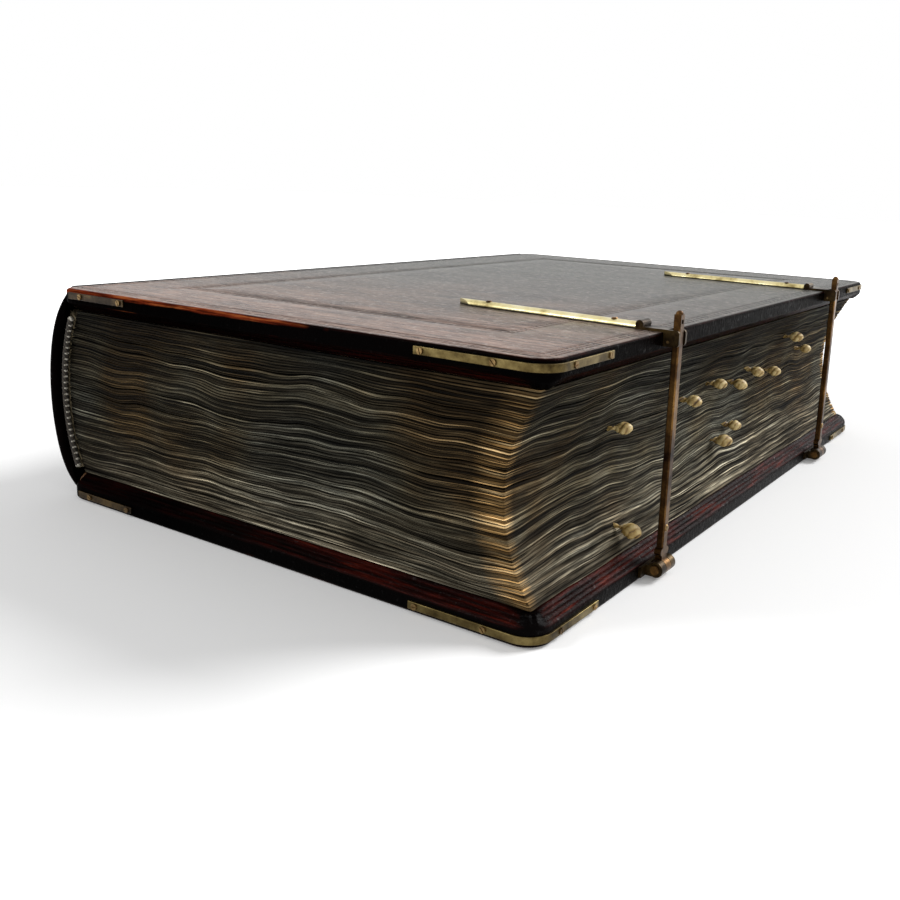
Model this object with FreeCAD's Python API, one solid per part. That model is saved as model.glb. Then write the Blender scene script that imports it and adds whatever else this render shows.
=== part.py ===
"""A large antique folio bound in leather over wooden boards, with two brass clasps.

Frame: origin at the centre of the lower cover's underside, X from the spine to the
fore-edge, Y from the near end to the far end, Z up. All lengths are in millimetres.
"""
import FreeCAD
import Part
import math
import os

Vec = FreeCAD.Vector

# Driving dimensions of the closed book
cover_length = 405.0
cover_width = 260.0
book_thickness = 100.0
cover_thickness = 11.0
spine_bulge = 14.0

# Covers: wooden boards in leather, bevelled on the inside of three edges
leather_thickness = 1.2
turn_in_thickness = 0.8
turn_in_width = 16.0
corner_radius = 10.0
spine_corner_radius = 8.0
bevel_width = 6.5
bevel_drop = 4.5
arris_radius = 1.4
edge_softening = 1.2
shoulder_radius = 4.0
joint_gap = 0.4

# Leaves: one block with a rounded back, a hollow fore-edge and cockled gatherings
square = 6.0
leaf_clearance = 0.3
fore_edge_hollow = 13.0
gathering_count = 11
gathering_gap = 0.7
gathering_gap_depth = 1.8
cockle_height = 1.3
cockle_length = 83.0
cockle_sample = 14.0
cockle_ramp = 0.12
gap_flat = 8.0
# Waves that add up to a cockle: share of its height, turns in one cockle length,
# starting phase and the phase gained from the lowest leaf to the top one
cockle_waves = ((0.62, 0.61, 1.1, 0.9), (0.38, 1.37, 0.0, 2.3))

# Spine: sewing cords on the back of the leaves, lining between them, leather over all
spine_leather = 2.7
lining_thickness = 6.6
cord_radius = 4.2
cord_count = 5
cord_clearance = 0.05
headcap_inset = 1.2
headcap_thickness = 2.6
headcap_chamfer = 1.2
endband_radius = 1.9
endband_lift = 0.6
endband_margin = 3.0
end_sweep = 4.0

# Brass corner strips and their nails
strip_height = 3.0
strip_thickness = 0.8
strip_offset = 1.6
strip_softening = 0.25
strip_long_arm = 54.0
strip_short_arm = 43.5
spine_strip_length = 39.0
nail_head_radius = 1.25
nail_head_height = 0.6
nail_shank_radius = 0.6
nail_shank_length = 6.0
nail_end_margin = 3.0
corner_nail_along_width = 21.0
corner_nail_along_length = 15.5
spine_nail_along_width = 17.0

# Clasps: arms on the lower cover, catches and half-round straps on the upper one
clasp_distance = 90.0
arm_width = 4.2
arm_thickness = 3.0
arm_standoff = 3.0
arm_chamfer = 0.5
arm_neck_width = 3.2
arm_top_rise = 1.6
arm_neck_length = 5.6
arm_tip_radius = 1.6
arm_eye = 1.7
lobe_radius = 1.6
lobe_height = 6.4
barrel_radius = 3.2
barrel_clearance = 0.3
hinge_axis_out = 5.2
hinge_axis_height = 4.6
hinge_pin_radius = 1.1
running_clearance = 0.05
knuckle_length = 4.0
arm_knuckle_length = 4.4
pin_head_radius = 1.9
pin_head_height = 0.8
plate_thickness = 1.2
hinge_plate_length = 22.0
hinge_plate_height = 4.4
catch_slot_clearance = 0.4
ear_thickness = 1.3
ear_reach = 6.6
ear_corner = 1.6
catch_depth = 5.4
catch_leaf_length = 12.0
catch_curl_radius = 1.7
catch_pin_radius = 0.6
catch_pin_out = 2.0
catch_pin_drop = 3.6
strap_length = 92.0
strap_width = 5.2
strap_height = 2.6
strap_point = 7.0
strap_skew = 4.5
strap_pin_shares = (0.12, 0.82)
strap_pin_radius = 0.9
strap_pin_length = 5.0
strap_pin_head_radius = 1.45
strap_pin_head_height = 0.5
rivet_height = 9.8
rivet_radius = 1.1
rivet_head_radius = 1.65
rivet_head_height = 0.5

# Knotted leaf markers on the fore-edge: distance from the near end, height
marker_places = (
    (81.0, 59.5), (79.0, 21.0), (152.0, 60.0), (184.0, 62.5), (214.5, 59.5),
    (238.0, 63.0), (270.0, 57.5), (288.0, 75.0), (324.0, 63.5), (210.0, 37.5), (191.0, 33.0),
)
marker_radius = 3.1
marker_neck_radius = 1.3
marker_collar_radius = 2.5
marker_neck_length = 3.2
marker_root = 0.9
marker_knot_offset = 1.9

# Derived places
half_width = cover_width / 2.0
half_length = cover_length / 2.0
mid_height = book_thickness / 2.0
board_start = -half_width + joint_gap
spine_radius = (spine_bulge ** 2 + mid_height ** 2) / (2.0 * spine_bulge)
spine_centre_x = -half_width - spine_bulge + spine_radius
lining_radius = spine_radius - spine_leather
back_radius = lining_radius - lining_thickness
block_bottom = cover_thickness + leaf_clearance
block_top = book_thickness - cover_thickness - leaf_clearance
block_end = half_length - square
block_edge = half_width - square
endband_y = block_end + endband_radius
spine_strip_end = joint_gap + spine_corner_radius + spine_strip_length
arm_inner = half_width + arm_standoff
arm_outer = arm_inner + arm_thickness
hinge_x = half_width + hinge_axis_out
strap_start = half_width - catch_leaf_length - joint_gap
tolerance = 1e-4


def move(shape, x=0.0, y=0.0, z=0.0):
    shape.translate(Vec(x, y, z))
    return shape


def mirrored_up(shape):
    """Turn a piece of the lower cover over into its place on the upper cover."""
    return shape.mirror(Vec(0, 0, mid_height), Vec(0, 0, 1))


def box(x0, x1, y0, y1, z0, z1):
    return Part.makeBox(x1 - x0, y1 - y0, z1 - z0, Vec(x0, y0, z0))


def outline(inset, spine_inset, z):
    """Plan outline of a cover, drawn in from its edges, with round fore-edge corners."""
    x0 = board_start + spine_inset
    x1 = half_width - inset
    y1 = half_length - inset
    r = corner_radius - inset
    mid = r * (1.0 - math.sqrt(0.5))
    near = [Vec(x1 - r, -y1, z), Vec(x1 - mid, -y1 + mid, z), Vec(x1, -y1 + r, z)]
    far = [Vec(x1, y1 - r, z), Vec(x1 - mid, y1 - mid, z), Vec(x1 - r, y1, z)]
    edges = [
        Part.LineSegment(Vec(x0, -y1, z), near[0]), Part.Arc(*near),
        Part.LineSegment(near[2], far[0]), Part.Arc(*far),
        Part.LineSegment(far[2], Vec(x0, y1, z)),
        Part.LineSegment(Vec(x0, y1, z), Vec(x0, -y1, z)),
    ]
    return Part.Wire([edge.toShape() for edge in edges])


def slab(inset, spine_inset, z0, z1):
    return Part.Face(outline(inset, spine_inset, z0)).extrude(Vec(0, 0, z1 - z0))


def bevelled_form(inset, bottom, top):
    """A cover's body: a straight edge below and a bevel rising to the inner face."""
    slope = bevel_drop / bevel_width
    drawn_in = inset * math.hypot(1.0, slope)
    bevel_start = cover_thickness - bevel_drop + inset * slope - drawn_in
    bevel_run = (top - (cover_thickness - bevel_drop) + drawn_in) / slope
    lower = slab(inset, inset, bottom, bevel_start)
    wires = [outline(inset, inset, bevel_start), outline(bevel_run, inset, top)]
    upper = Part.makeLoft(wires, True, True)
    return lower.fuse(upper).removeSplitter()


def edges_at(shape, z):
    """Edges that lie level at one height, leaving out the one along the spine."""
    found = []
    for edge in shape.Edges:
        bounds = edge.BoundBox
        level = abs(bounds.ZMin - z) < tolerance and abs(bounds.ZMax - z) < tolerance
        if level and bounds.XMax > board_start + joint_gap:
            found.append(edge)
    return found


def shoulder_profile(inset):
    """Rounds the spine-side arris, where the leather turns down over the joint."""
    x0 = board_start + inset
    x1 = half_width + arris_radius
    r = shoulder_radius - inset
    mid = r * (1.0 - math.sqrt(0.5))
    z1 = cover_thickness
    points = [Vec(x0 + r, 0, inset), Vec(x1, 0, inset), Vec(x1, 0, z1), Vec(x0, 0, z1), Vec(x0, 0, inset + r)]
    edges = [Part.LineSegment(points[i], points[i + 1]).toShape() for i in range(4)]
    edges.append(Part.Arc(points[4], Vec(x0 + mid, 0, inset + mid), points[0]).toShape())
    face = Part.Face(Part.Wire(edges))
    return move(face, y=-half_length).extrude(Vec(0, cover_length, 0))


def spine_corners(inset):
    """Plan form that rounds a cover's two corners at the spine."""
    y1 = half_length - inset
    block = box(board_start + inset, half_width, -y1, y1, 0.0, cover_thickness)
    upright = [e for e in block.Edges if e.BoundBox.XMax < 0.0 and e.BoundBox.YLength < tolerance]
    upright = [e for e in upright if e.BoundBox.ZLength > tolerance]
    return block.makeFillet(spine_corner_radius - inset, upright)


def cover_form():
    form = bevelled_form(0.0, 0.0, cover_thickness)
    form = form.makeFillet(edge_softening, edges_at(form, cover_thickness - bevel_drop))
    form = form.makeFillet(arris_radius, edges_at(form, 0.0))
    return form.common(shoulder_profile(0.0)).common(spine_corners(0.0))


def board_form():
    form = bevelled_form(leather_thickness, leather_thickness, cover_thickness - turn_in_thickness)
    return form.common(shoulder_profile(leather_thickness)).common(spine_corners(leather_thickness))


def turn_in_window(clearance):
    """The inner face left open between the turned-in leather, where the pastedown lies."""
    inset = bevel_width + turn_in_width + clearance
    x0 = board_start + turn_in_width + clearance
    return box(x0, half_width - inset, -half_length + inset, half_length - inset,
               cover_thickness - turn_in_thickness, cover_thickness)


def strip_band():
    """A closed band of brass round the outer part of a cover's straight edge."""
    z0 = strip_offset
    z1 = strip_offset + strip_height
    return slab(-strip_thickness, 0.0, z0, z1).cut(slab(0.0, 0.0, z0, z1))


def soften_outside(strip):
    """Round the two long outer edges of a strip."""
    long_edges = []
    for edge in strip.Edges:
        bounds = edge.BoundBox
        reach = max(bounds.XMax - half_width, bounds.YMax - half_length, -bounds.YMin - half_length)
        if edge.Length > strip_height + tolerance and reach > strip_thickness - tolerance:
            long_edges.append(edge)
    return strip.makeFillet(strip_softening, long_edges)


def corner_strip(side):
    """An edge strip that wraps one fore-edge corner; side is -1 near, 1 far."""
    x0 = half_width - strip_long_arm
    y_end = half_length - strip_short_arm
    y_low, y_high = sorted((side * y_end, side * (half_length + strip_thickness)))
    window = box(x0, half_width + strip_thickness, y_low, y_high, 0.0, cover_thickness)
    return soften_outside(strip_band().common(window))


def spine_strip(side):
    """A short straight edge strip at the spine end of a cover's near or far edge."""
    x0 = board_start + spine_corner_radius
    y_low, y_high = sorted((side * half_length, side * (half_length + strip_thickness)))
    strip = box(x0, x0 + spine_strip_length, y_low, y_high, strip_offset, strip_offset + strip_height)
    return soften_outside(strip)


def nail(base, direction):
    """A domed nail seated on a strip, its shank driven into the board."""
    dome_radius = (nail_head_radius ** 2 + nail_head_height ** 2) / (2.0 * nail_head_height)
    rim = Part.Arc(Vec(nail_head_radius, 0, 0),
                   Vec(nail_head_radius / 2.0, 0, math.sqrt(dome_radius ** 2 - nail_head_radius ** 2 / 4.0)
                       - dome_radius + nail_head_height),
                   Vec(0, 0, nail_head_height))
    corners = [Vec(0, 0, nail_head_height), Vec(0, 0, -nail_shank_length),
               Vec(nail_shank_radius, 0, -nail_shank_length), Vec(nail_shank_radius, 0, 0),
               Vec(nail_head_radius, 0, 0)]
    edges = [Part.LineSegment(corners[i], corners[i + 1]).toShape() for i in range(4)]
    edges.append(rim.toShape())
    solid = Part.Face(Part.Wire(edges)).revolve(Vec(0, 0, 0), Vec(0, 0, 1), 360)
    solid.Placement = FreeCAD.Placement(base, FreeCAD.Rotation(Vec(0, 0, 1), direction))
    return solid


def cover_nails():
    """All the nails of the lower cover's four strips, as separate solids."""
    z = strip_offset + strip_height / 2.0
    nails = []
    for side in (-1, 1):
        y = side * (half_length + strip_thickness)
        for distance in (corner_nail_along_width, strip_long_arm - nail_end_margin):
            nails.append(nail(Vec(half_width - distance, y, z), Vec(0, side, 0)))
        for distance in (corner_nail_along_length, strip_short_arm - nail_end_margin):
            place = Vec(half_width + strip_thickness, side * (half_length - distance), z)
            nails.append(nail(place, Vec(1, 0, 0)))
        for distance in (spine_nail_along_width, spine_strip_end - nail_end_margin):
            nails.append(nail(Vec(-half_width + distance, y, z), Vec(0, side, 0)))
    return nails


def wave(along, share, level):
    """How far a cockled leaf rises above its flat place; it lies flat at both ends of an edge."""
    turn = 2.0 * math.pi * along / cockle_length
    rise = 0.0
    for height, turns, phase, gain in cockle_waves:
        rise += height * math.sin(turn * turns + phase + gain * level)
    ramp = min(1.0, min(share, 1.0 - share) / cockle_ramp)
    fade = ramp * ramp * (3.0 - 2.0 * ramp)
    return cockle_height * fade * rise * math.sin(math.pi * level)


def wavy_gap(start, end, along_start, level, z):
    """A thin face between two gatherings, upright on the line from start to end."""
    along = (end - start).normalize()
    first = start + along * gap_flat
    last = end - along * gap_flat
    length = (last - first).Length
    steps = int(round(length / cockle_sample))
    borders = []
    for lift in (-gathering_gap / 2.0, gathering_gap / 2.0):
        points = []
        for i in range(steps + 1):
            place = first + (last - first) * (i / steps)
            height = z + wave(along_start + length * i / steps, i / steps, level) + lift
            points.append(Vec(place.x, place.y, height))
        curve = Part.BSplineCurve()
        curve.interpolate(points)
        ends = [Vec(start.x, start.y, z + lift), Vec(end.x, end.y, z + lift)]
        borders.append([
            Part.LineSegment(ends[0], points[0]).toShape(), curve.toShape(),
            Part.LineSegment(points[-1], ends[1]).toShape(),
        ])
    closing = [
        Part.LineSegment(Vec(place.x, place.y, z - gathering_gap / 2.0),
                         Vec(place.x, place.y, z + gathering_gap / 2.0)).toShape()
        for place in (start, end)
    ]
    return Part.Face(Part.Wire(borders[0] + [closing[1]] + borders[1][::-1] + [closing[0]]))


def fore_edge_x(z):
    """Where the hollow fore-edge lies at one height."""
    half = (block_top - block_bottom) / 2.0
    radius = (half ** 2 + fore_edge_hollow ** 2) / (2.0 * fore_edge_hollow)
    rise = math.sqrt(max(radius ** 2 - (z - mid_height) ** 2, 0.0)) - (radius - fore_edge_hollow)
    return block_edge - rise


def back_x(z, radius):
    """Where an arc about the spine's axis lies at one height."""
    return spine_centre_x - math.sqrt(radius ** 2 - (z - mid_height) ** 2)


def block_profile():
    """End outline of the leaves: rounded back, hollow fore-edge, flat top and bottom."""
    low_back = Vec(back_x(block_bottom, back_radius), 0, block_bottom)
    top_back = Vec(back_x(block_top, back_radius), 0, block_top)
    low_fore = Vec(fore_edge_x(block_bottom), 0, block_bottom)
    top_fore = Vec(fore_edge_x(block_top), 0, block_top)
    edges = [
        Part.LineSegment(low_back, low_fore).toShape(),
        Part.Arc(low_fore, Vec(fore_edge_x(mid_height), 0, mid_height), top_fore).toShape(),
        Part.LineSegment(top_fore, top_back).toShape(),
        Part.Arc(top_back, Vec(back_x(mid_height, back_radius), 0, mid_height), low_back).toShape(),
    ]
    return Part.Face(Part.Wire(edges))


def gathering_gaps():
    """Wavy grooves that part the gatherings round the near end, fore-edge and far end."""
    tools = []
    height = block_top - block_bottom
    for i in range(1, gathering_count):
        level = i / gathering_count
        z = block_bottom + height * level
        x0 = back_x(z, back_radius) + endband_radius + gathering_gap_depth
        x1 = fore_edge_x(z)
        out = x1 + gathering_gap
        end = block_end + gathering_gap
        near = wavy_gap(Vec(x0, -end, 0), Vec(out, -end, 0), 0.0, level, z)
        tools.append(near.extrude(Vec(0, gathering_gap + gathering_gap_depth, 0)))
        far = wavy_gap(Vec(x0, end, 0), Vec(out, end, 0), cover_length, level, z)
        tools.append(far.extrude(Vec(0, -gathering_gap - gathering_gap_depth, 0)))
        fore = wavy_gap(Vec(x1 - gathering_gap_depth, -end, 0), Vec(x1 - gathering_gap_depth, end, 0),
                        cover_width, level, z)
        tools.append(fore.extrude(Vec(gathering_gap_depth + gathering_gap, 0, 0)))
    return tools


def text_block():
    block = move(block_profile(), y=-block_end).extrude(Vec(0, 2.0 * block_end, 0))
    return block.cut(gathering_gaps()).removeSplitter()


def turned(face, half_angle):
    """Revolve a profile about the spine's axis, the same angle up and down."""
    axis_point = Vec(spine_centre_x, 0, mid_height)
    start = face.copy()
    start.rotate(axis_point, Vec(0, 1, 0), -half_angle)
    return start.revolve(axis_point, Vec(0, 1, 0), 2.0 * half_angle)


def sector_angle(half_height, radius):
    return math.degrees(math.asin(half_height / radius))


def spine_rectangle(inner, outer, y0, y1):
    """A flat profile between two radii of the spine and two places along it."""
    corners = [Vec(spine_centre_x - outer, y0, mid_height), Vec(spine_centre_x - inner, y0, mid_height),
               Vec(spine_centre_x - inner, y1, mid_height), Vec(spine_centre_x - outer, y1, mid_height)]
    return Part.Face(Part.makePolygon(corners + corners[:1]))


def spine_circle(radius, centre_radius, y):
    centre = Vec(spine_centre_x - centre_radius, y, mid_height)
    return Part.Face(Part.Wire(Part.makeCircle(radius, centre, Vec(0, 0, 1))))


def cord_places():
    spacing = 2.0 * block_end / (cord_count + 1)
    return [-block_end + spacing * (i + 1) for i in range(cord_count)]


def sewing_cords():
    """Thick cords that the gatherings are sewn to, bent round the back of the leaves."""
    angle = sector_angle((block_top - block_bottom) / 2.0 - endband_margin, back_radius)
    centre_radius = back_radius + cord_radius
    return [turned(spine_circle(cord_radius, centre_radius, y), angle) for y in cord_places()]


def spine_lining():
    """Lining glued to the back of the leaves between the cords."""
    end = block_end - cord_clearance
    profile = spine_rectangle(back_radius, lining_radius, -end, end)
    channel_radius = cord_radius + cord_clearance
    channels = [spine_circle(channel_radius, back_radius + cord_radius, y) for y in cord_places()]
    profile = profile.cut(channels)
    lining = turned(profile, sector_angle((block_top - block_bottom) / 2.0 - endband_margin, back_radius))
    return lining.Solids


def spine_skin():
    """The spine's leather: raised over each cord and turned in over both ends."""
    end = half_length - headcap_inset
    cap = end - headcap_thickness
    cap_inner = back_radius + endband_lift + endband_radius + cord_clearance
    rim = spine_radius - headcap_chamfer
    turn = end - headcap_chamfer
    radii_and_places = [
        (rim, -end), (spine_radius, -turn), (spine_radius, turn), (rim, end), (cap_inner, end),
        (cap_inner, cap), (lining_radius, cap), (lining_radius, -cap), (cap_inner, -cap), (cap_inner, -end),
    ]
    corners = [Vec(spine_centre_x - radius, y, mid_height) for radius, y in radii_and_places]
    profile = Part.Face(Part.makePolygon(corners + corners[:1]))
    over_cord = cord_radius + spine_leather
    cord_ring = back_radius + cord_radius
    inside = spine_rectangle(back_radius - cord_radius, lining_radius, -cap, cap)
    for y in cord_places():
        profile = profile.fuse(spine_circle(over_cord, cord_ring, y))
        profile = profile.cut(spine_circle(cord_radius + cord_clearance, cord_ring, y))
    profile = profile.cut(inside).removeSplitter()
    skin = turned(profile.Faces[0], sector_angle(mid_height, spine_radius) + end_sweep)
    reach = half_width + spine_bulge + over_cord
    outside = box(-reach, -half_width, -half_length, half_length, 0.0, book_thickness)
    return skin.common(outside)


def endband(side):
    """A wound roll across the leaf ends, just inside the back."""
    angle = sector_angle((block_top - block_bottom) / 2.0 - endband_margin, back_radius)
    return turned(spine_circle(endband_radius, back_radius + endband_lift, side * endband_y), angle)


def leaf_marker(distance, z):
    """A knotted strip of parchment that stands out from one leaf's edge."""
    x = fore_edge_x(z)
    y = -half_length + distance
    root = Vec(x - marker_root, y, z)
    neck = Part.makeCone(marker_neck_radius, marker_collar_radius, marker_neck_length, root, Vec(1, 0, 0))
    knot = Part.makeSphere(marker_radius, root + Vec(marker_neck_length + marker_knot_offset, 0, 0))
    return neck.fuse(knot)


def leaf_markers(block):
    return [leaf_marker(distance, z).cut(block) for distance, z in marker_places]


def y_cylinder(radius, y_centre, length, x, z):
    return Part.makeCylinder(radius, length, Vec(x, y_centre - length / 2.0, z), Vec(0, 1, 0))


def clasp_hinge(y):
    """A plate on the lower cover's fore-edge with two knuckles for the clasp's pin."""
    plate = box(half_width, half_width + plate_thickness, y - hinge_plate_length / 2.0,
                y + hinge_plate_length / 2.0, strip_offset, strip_offset + hinge_plate_height)
    offset = arm_knuckle_length / 2.0 + barrel_clearance + knuckle_length / 2.0
    knuckles = []
    for side in (-1, 1):
        centre = y + side * offset
        barrel = y_cylinder(barrel_radius, centre, knuckle_length, hinge_x, hinge_axis_height)
        web = box(half_width, hinge_x, centre - knuckle_length / 2.0, centre + knuckle_length / 2.0,
                  strip_offset, strip_offset + hinge_plate_height)
        knuckles += [barrel, web]
    bore = y_cylinder(hinge_pin_radius, y, hinge_plate_length, hinge_x, hinge_axis_height)
    return plate.fuse(knuckles).cut(bore).removeSplitter()


def hinge_pin(y):
    """The clasp's pin, headed at both ends."""
    span = arm_knuckle_length + 2.0 * (barrel_clearance + knuckle_length)
    pin = y_cylinder(hinge_pin_radius, y, span, hinge_x, hinge_axis_height)
    heads = []
    for side in (-1, 1):
        centre = y + side * (span + pin_head_height) / 2.0
        heads.append(y_cylinder(pin_head_radius, centre, pin_head_height, hinge_x, hinge_axis_height))
    return pin.fuse(heads)


def clasp_arm(y):
    """A slim arm: knuckle and lobed root below, long bar, eye and ball above the cover."""
    top = book_thickness + arm_top_rise
    root_z = hinge_axis_height + lobe_height
    bar = box(arm_inner, arm_outer, y - arm_width / 2.0, y + arm_width / 2.0, root_z, top)
    upright = [e for e in bar.Edges if e.BoundBox.ZLength > arm_width]
    bar = bar.makeChamfer(arm_chamfer, upright)
    root = box(arm_inner, arm_outer, y - arm_knuckle_length / 2.0, y + arm_knuckle_length / 2.0,
               hinge_axis_height, root_z)
    knuckle = y_cylinder(barrel_radius, y, arm_knuckle_length, hinge_x, hinge_axis_height)
    lobes = [Part.makeCylinder(lobe_radius, arm_thickness, Vec(arm_inner, y + side * arm_width / 2.0, root_z),
                               Vec(1, 0, 0)) for side in (-1, 1)]
    neck_half = arm_neck_width / 2.0
    neck = box(arm_inner, arm_outer, y - neck_half, y + neck_half, top, top + arm_neck_length)
    eye_z = top + arm_neck_length / 2.0
    eye = box(arm_inner, arm_outer, y - arm_eye / 2.0, y + arm_eye / 2.0, eye_z - arm_eye / 2.0,
              eye_z + arm_eye / 2.0)
    tip = Part.makeSphere(arm_tip_radius, Vec((arm_inner + arm_outer) / 2.0, y, top + arm_neck_length))
    bore_radius = hinge_pin_radius + running_clearance
    bore = y_cylinder(bore_radius, y, hinge_plate_length, hinge_x, hinge_axis_height)
    rivet_hole = Part.makeCylinder(rivet_radius, arm_thickness, Vec(arm_inner, y, root_z + rivet_height),
                                   Vec(1, 0, 0))
    arm = bar.fuse([root, knuckle, neck, tip] + lobes).cut([bore, eye, rivet_hole])
    return arm.removeSplitter()


def clasp_rivet(y):
    """A rivet through the foot of the arm, its head on the outer face."""
    place = Vec(arm_inner, y, hinge_axis_height + lobe_height + rivet_height)
    shank = Part.makeCylinder(rivet_radius, arm_thickness, place, Vec(1, 0, 0))
    head = Part.makeCone(rivet_head_radius, rivet_radius, rivet_head_height,
                         place + Vec(arm_thickness, 0, 0), Vec(1, 0, 0))
    return shank.fuse(head)


def clasp_catch(y):
    """A folded catch on the upper cover's edge with two ears that straddle the arm."""
    bottom = book_thickness - catch_depth
    top = book_thickness + plate_thickness
    slot_half = arm_width / 2.0 + catch_slot_clearance
    outer_half = slot_half + ear_thickness
    edge_leaf = box(half_width, half_width + plate_thickness, y - outer_half, y + outer_half, bottom, top)
    top_leaf = box(half_width - catch_leaf_length, half_width, y - outer_half, y + outer_half,
                   book_thickness, top)
    ears = []
    for side in (-1, 1):
        y_low, y_high = sorted((y + side * slot_half, y + side * outer_half))
        ear = box(half_width + plate_thickness, half_width + ear_reach, y_low, y_high, bottom, top)
        outer = [e for e in ear.Edges if e.BoundBox.YLength > ear_thickness / 2.0
                 and e.BoundBox.XMin > half_width + ear_reach - tolerance]
        ears.append(ear.makeFillet(ear_corner, outer))
    curl_x = half_width - catch_leaf_length + catch_curl_radius
    curl = y_cylinder(catch_curl_radius, y, 2.0 * outer_half, curl_x, top + catch_curl_radius / 2.0)
    catch = edge_leaf.fuse([top_leaf, curl] + ears)
    return catch.cut(catch_pin(y)).removeSplitter()


def catch_pin(y):
    """The cross pin that the closed arm snaps on to."""
    length = arm_width + 2.0 * (catch_slot_clearance + ear_thickness)
    z = book_thickness - catch_pin_drop
    return y_cylinder(catch_pin_radius, y, length, half_width + catch_pin_out, z)


def strap_places(y):
    """Where the strap's two pins go through it, from its outer end inwards."""
    angle = math.radians(strap_skew)
    places = []
    for share in strap_pin_shares:
        run = strap_length * share
        places.append(Vec(strap_start - run * math.cos(angle), y + run * math.sin(angle), book_thickness))
    return places


def strap_pins(y):
    """Two domed pins that hold a strap to the board."""
    pins = []
    for place in strap_places(y):
        shank = Part.makeCylinder(strap_pin_radius, strap_height + strap_pin_length,
                                  place - Vec(0, 0, strap_pin_length))
        head = Part.makeCone(strap_pin_head_radius, strap_pin_radius, strap_pin_head_height,
                             place + Vec(0, 0, strap_height))
        pins.append(shank.fuse(head))
    return pins


def clasp_strap(y):
    """A half-round brass strap let along the upper cover, running out to a point."""
    half = strap_width / 2.0
    crown = book_thickness + strap_height
    right = Vec(strap_start, y - half, book_thickness)
    left = Vec(strap_start, y + half, book_thickness)
    arc = Part.Arc(right, Vec(strap_start, y, crown), left)
    base = Part.LineSegment(left, right)
    section = Part.Face(Part.Wire([arc.toShape(), base.toShape()]))
    body = section.extrude(Vec(-strap_length, 0, 0))
    tip_x = strap_start - strap_length
    plan = [right, left, Vec(tip_x + strap_point, y + half, book_thickness), Vec(tip_x, y, book_thickness),
            Vec(tip_x + strap_point, y - half, book_thickness)]
    pointed = Part.Face(Part.makePolygon(plan + plan[:1])).extrude(Vec(0, 0, strap_height))
    strap = body.common(pointed)
    strap.rotate(Vec(strap_start, y, book_thickness), Vec(0, 0, 1), -strap_skew)
    return strap


def export(name, shapes):
    """Write one node; a list of separate solids becomes one compound."""
    shape = shapes if isinstance(shapes, Part.Shape) else Part.makeCompound(shapes)
    shape.exportStep(os.path.join("parts", name + ".step"))


def build_cover(name, place, pins):
    """One cover's board, leather, pastedown, strips and nails; place is its own reverse."""
    nails = cover_nails()
    studs = nails + [place(pin) for pin in pins]
    leather = cover_form().cut([board_form(), turn_in_window(0.0)])
    strips = {
        "near_corner_strip": corner_strip(-1), "far_corner_strip": corner_strip(1),
        "near_spine_strip": spine_strip(-1), "far_spine_strip": spine_strip(1),
    }
    export(name + "_board", place(board_form().cut(studs)))
    export(name + "_leather", place(leather.cut(studs)))
    export(name + "_pastedown", place(turn_in_window(leaf_clearance)))
    for strip_name, strip in strips.items():
        export(name + "_" + strip_name, place(strip.cut(nails)))
    export(name + "_strip_nails", [place(piece) for piece in nails])


def build_leaves():
    """The leaves with everything sewn or glued to them, and the spine's leather."""
    block = text_block()
    export("text_block", block)
    export("sewing_cords", sewing_cords())
    export("spine_lining", spine_lining())
    export("spine_leather", spine_skin())
    export("near_endband", endband(-1))
    export("far_endband", endband(1))
    export("leaf_markers", leaf_markers(block))


def build_clasp(name, y, pins):
    """One clasp's arm and hinge, its catch and its strap on the upper cover."""
    export(name + "_hinge", clasp_hinge(y))
    export(name + "_hinge_pin", hinge_pin(y))
    export(name + "_arm", clasp_arm(y))
    export(name + "_rivet", clasp_rivet(y))
    export(name + "_catch", clasp_catch(y))
    export(name + "_catch_pin", catch_pin(y))
    export(name + "_strap", clasp_strap(y).cut(pins))
    export(name + "_strap_pins", pins)


def main():
    os.makedirs("parts", exist_ok=True)
    near_y = -half_length + clasp_distance
    far_y = half_length - clasp_distance
    near_pins = strap_pins(near_y)
    far_pins = strap_pins(far_y)
    build_cover("lower_cover", lambda shape: shape, [])
    build_cover("upper_cover", mirrored_up, near_pins + far_pins)
    build_leaves()
    build_clasp("near_clasp", near_y, near_pins)
    build_clasp("far_clasp", far_y, far_pins)


main()
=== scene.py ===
import bpy
import bmesh
import math
import random
from mathutils import Matrix, Vector


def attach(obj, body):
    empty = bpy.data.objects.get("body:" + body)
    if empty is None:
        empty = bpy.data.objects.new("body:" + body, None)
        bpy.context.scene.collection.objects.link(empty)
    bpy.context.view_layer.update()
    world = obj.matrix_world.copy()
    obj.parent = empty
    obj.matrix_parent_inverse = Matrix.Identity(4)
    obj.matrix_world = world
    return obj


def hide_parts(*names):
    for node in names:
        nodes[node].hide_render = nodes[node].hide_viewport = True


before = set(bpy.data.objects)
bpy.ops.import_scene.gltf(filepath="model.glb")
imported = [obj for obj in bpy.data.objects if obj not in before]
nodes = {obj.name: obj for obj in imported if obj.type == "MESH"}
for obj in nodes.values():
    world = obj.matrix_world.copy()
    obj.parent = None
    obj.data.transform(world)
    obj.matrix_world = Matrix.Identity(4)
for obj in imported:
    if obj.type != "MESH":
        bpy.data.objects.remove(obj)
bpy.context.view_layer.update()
print("frame loaded:", len(nodes), "nodes")

# the closed book in metres, the same sizes as in the frame
book = {
    "halfWidth": 0.130, "halfLength": 0.2025, "thickness": 0.100, "middle": 0.050,
    "boardStart": -0.1296, "cornerRadius": 0.010, "spineCorner": 0.008,
    "spineRadius": 0.096286, "spineX": -0.047714,
    "blockBottom": 0.0113, "blockTop": 0.0887, "blockEnd": 0.1965, "backEdge": -0.12562,
    "backBulge": 0.00908, "foreEdge": 0.124, "foreHollow": 0.013,
}


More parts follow.
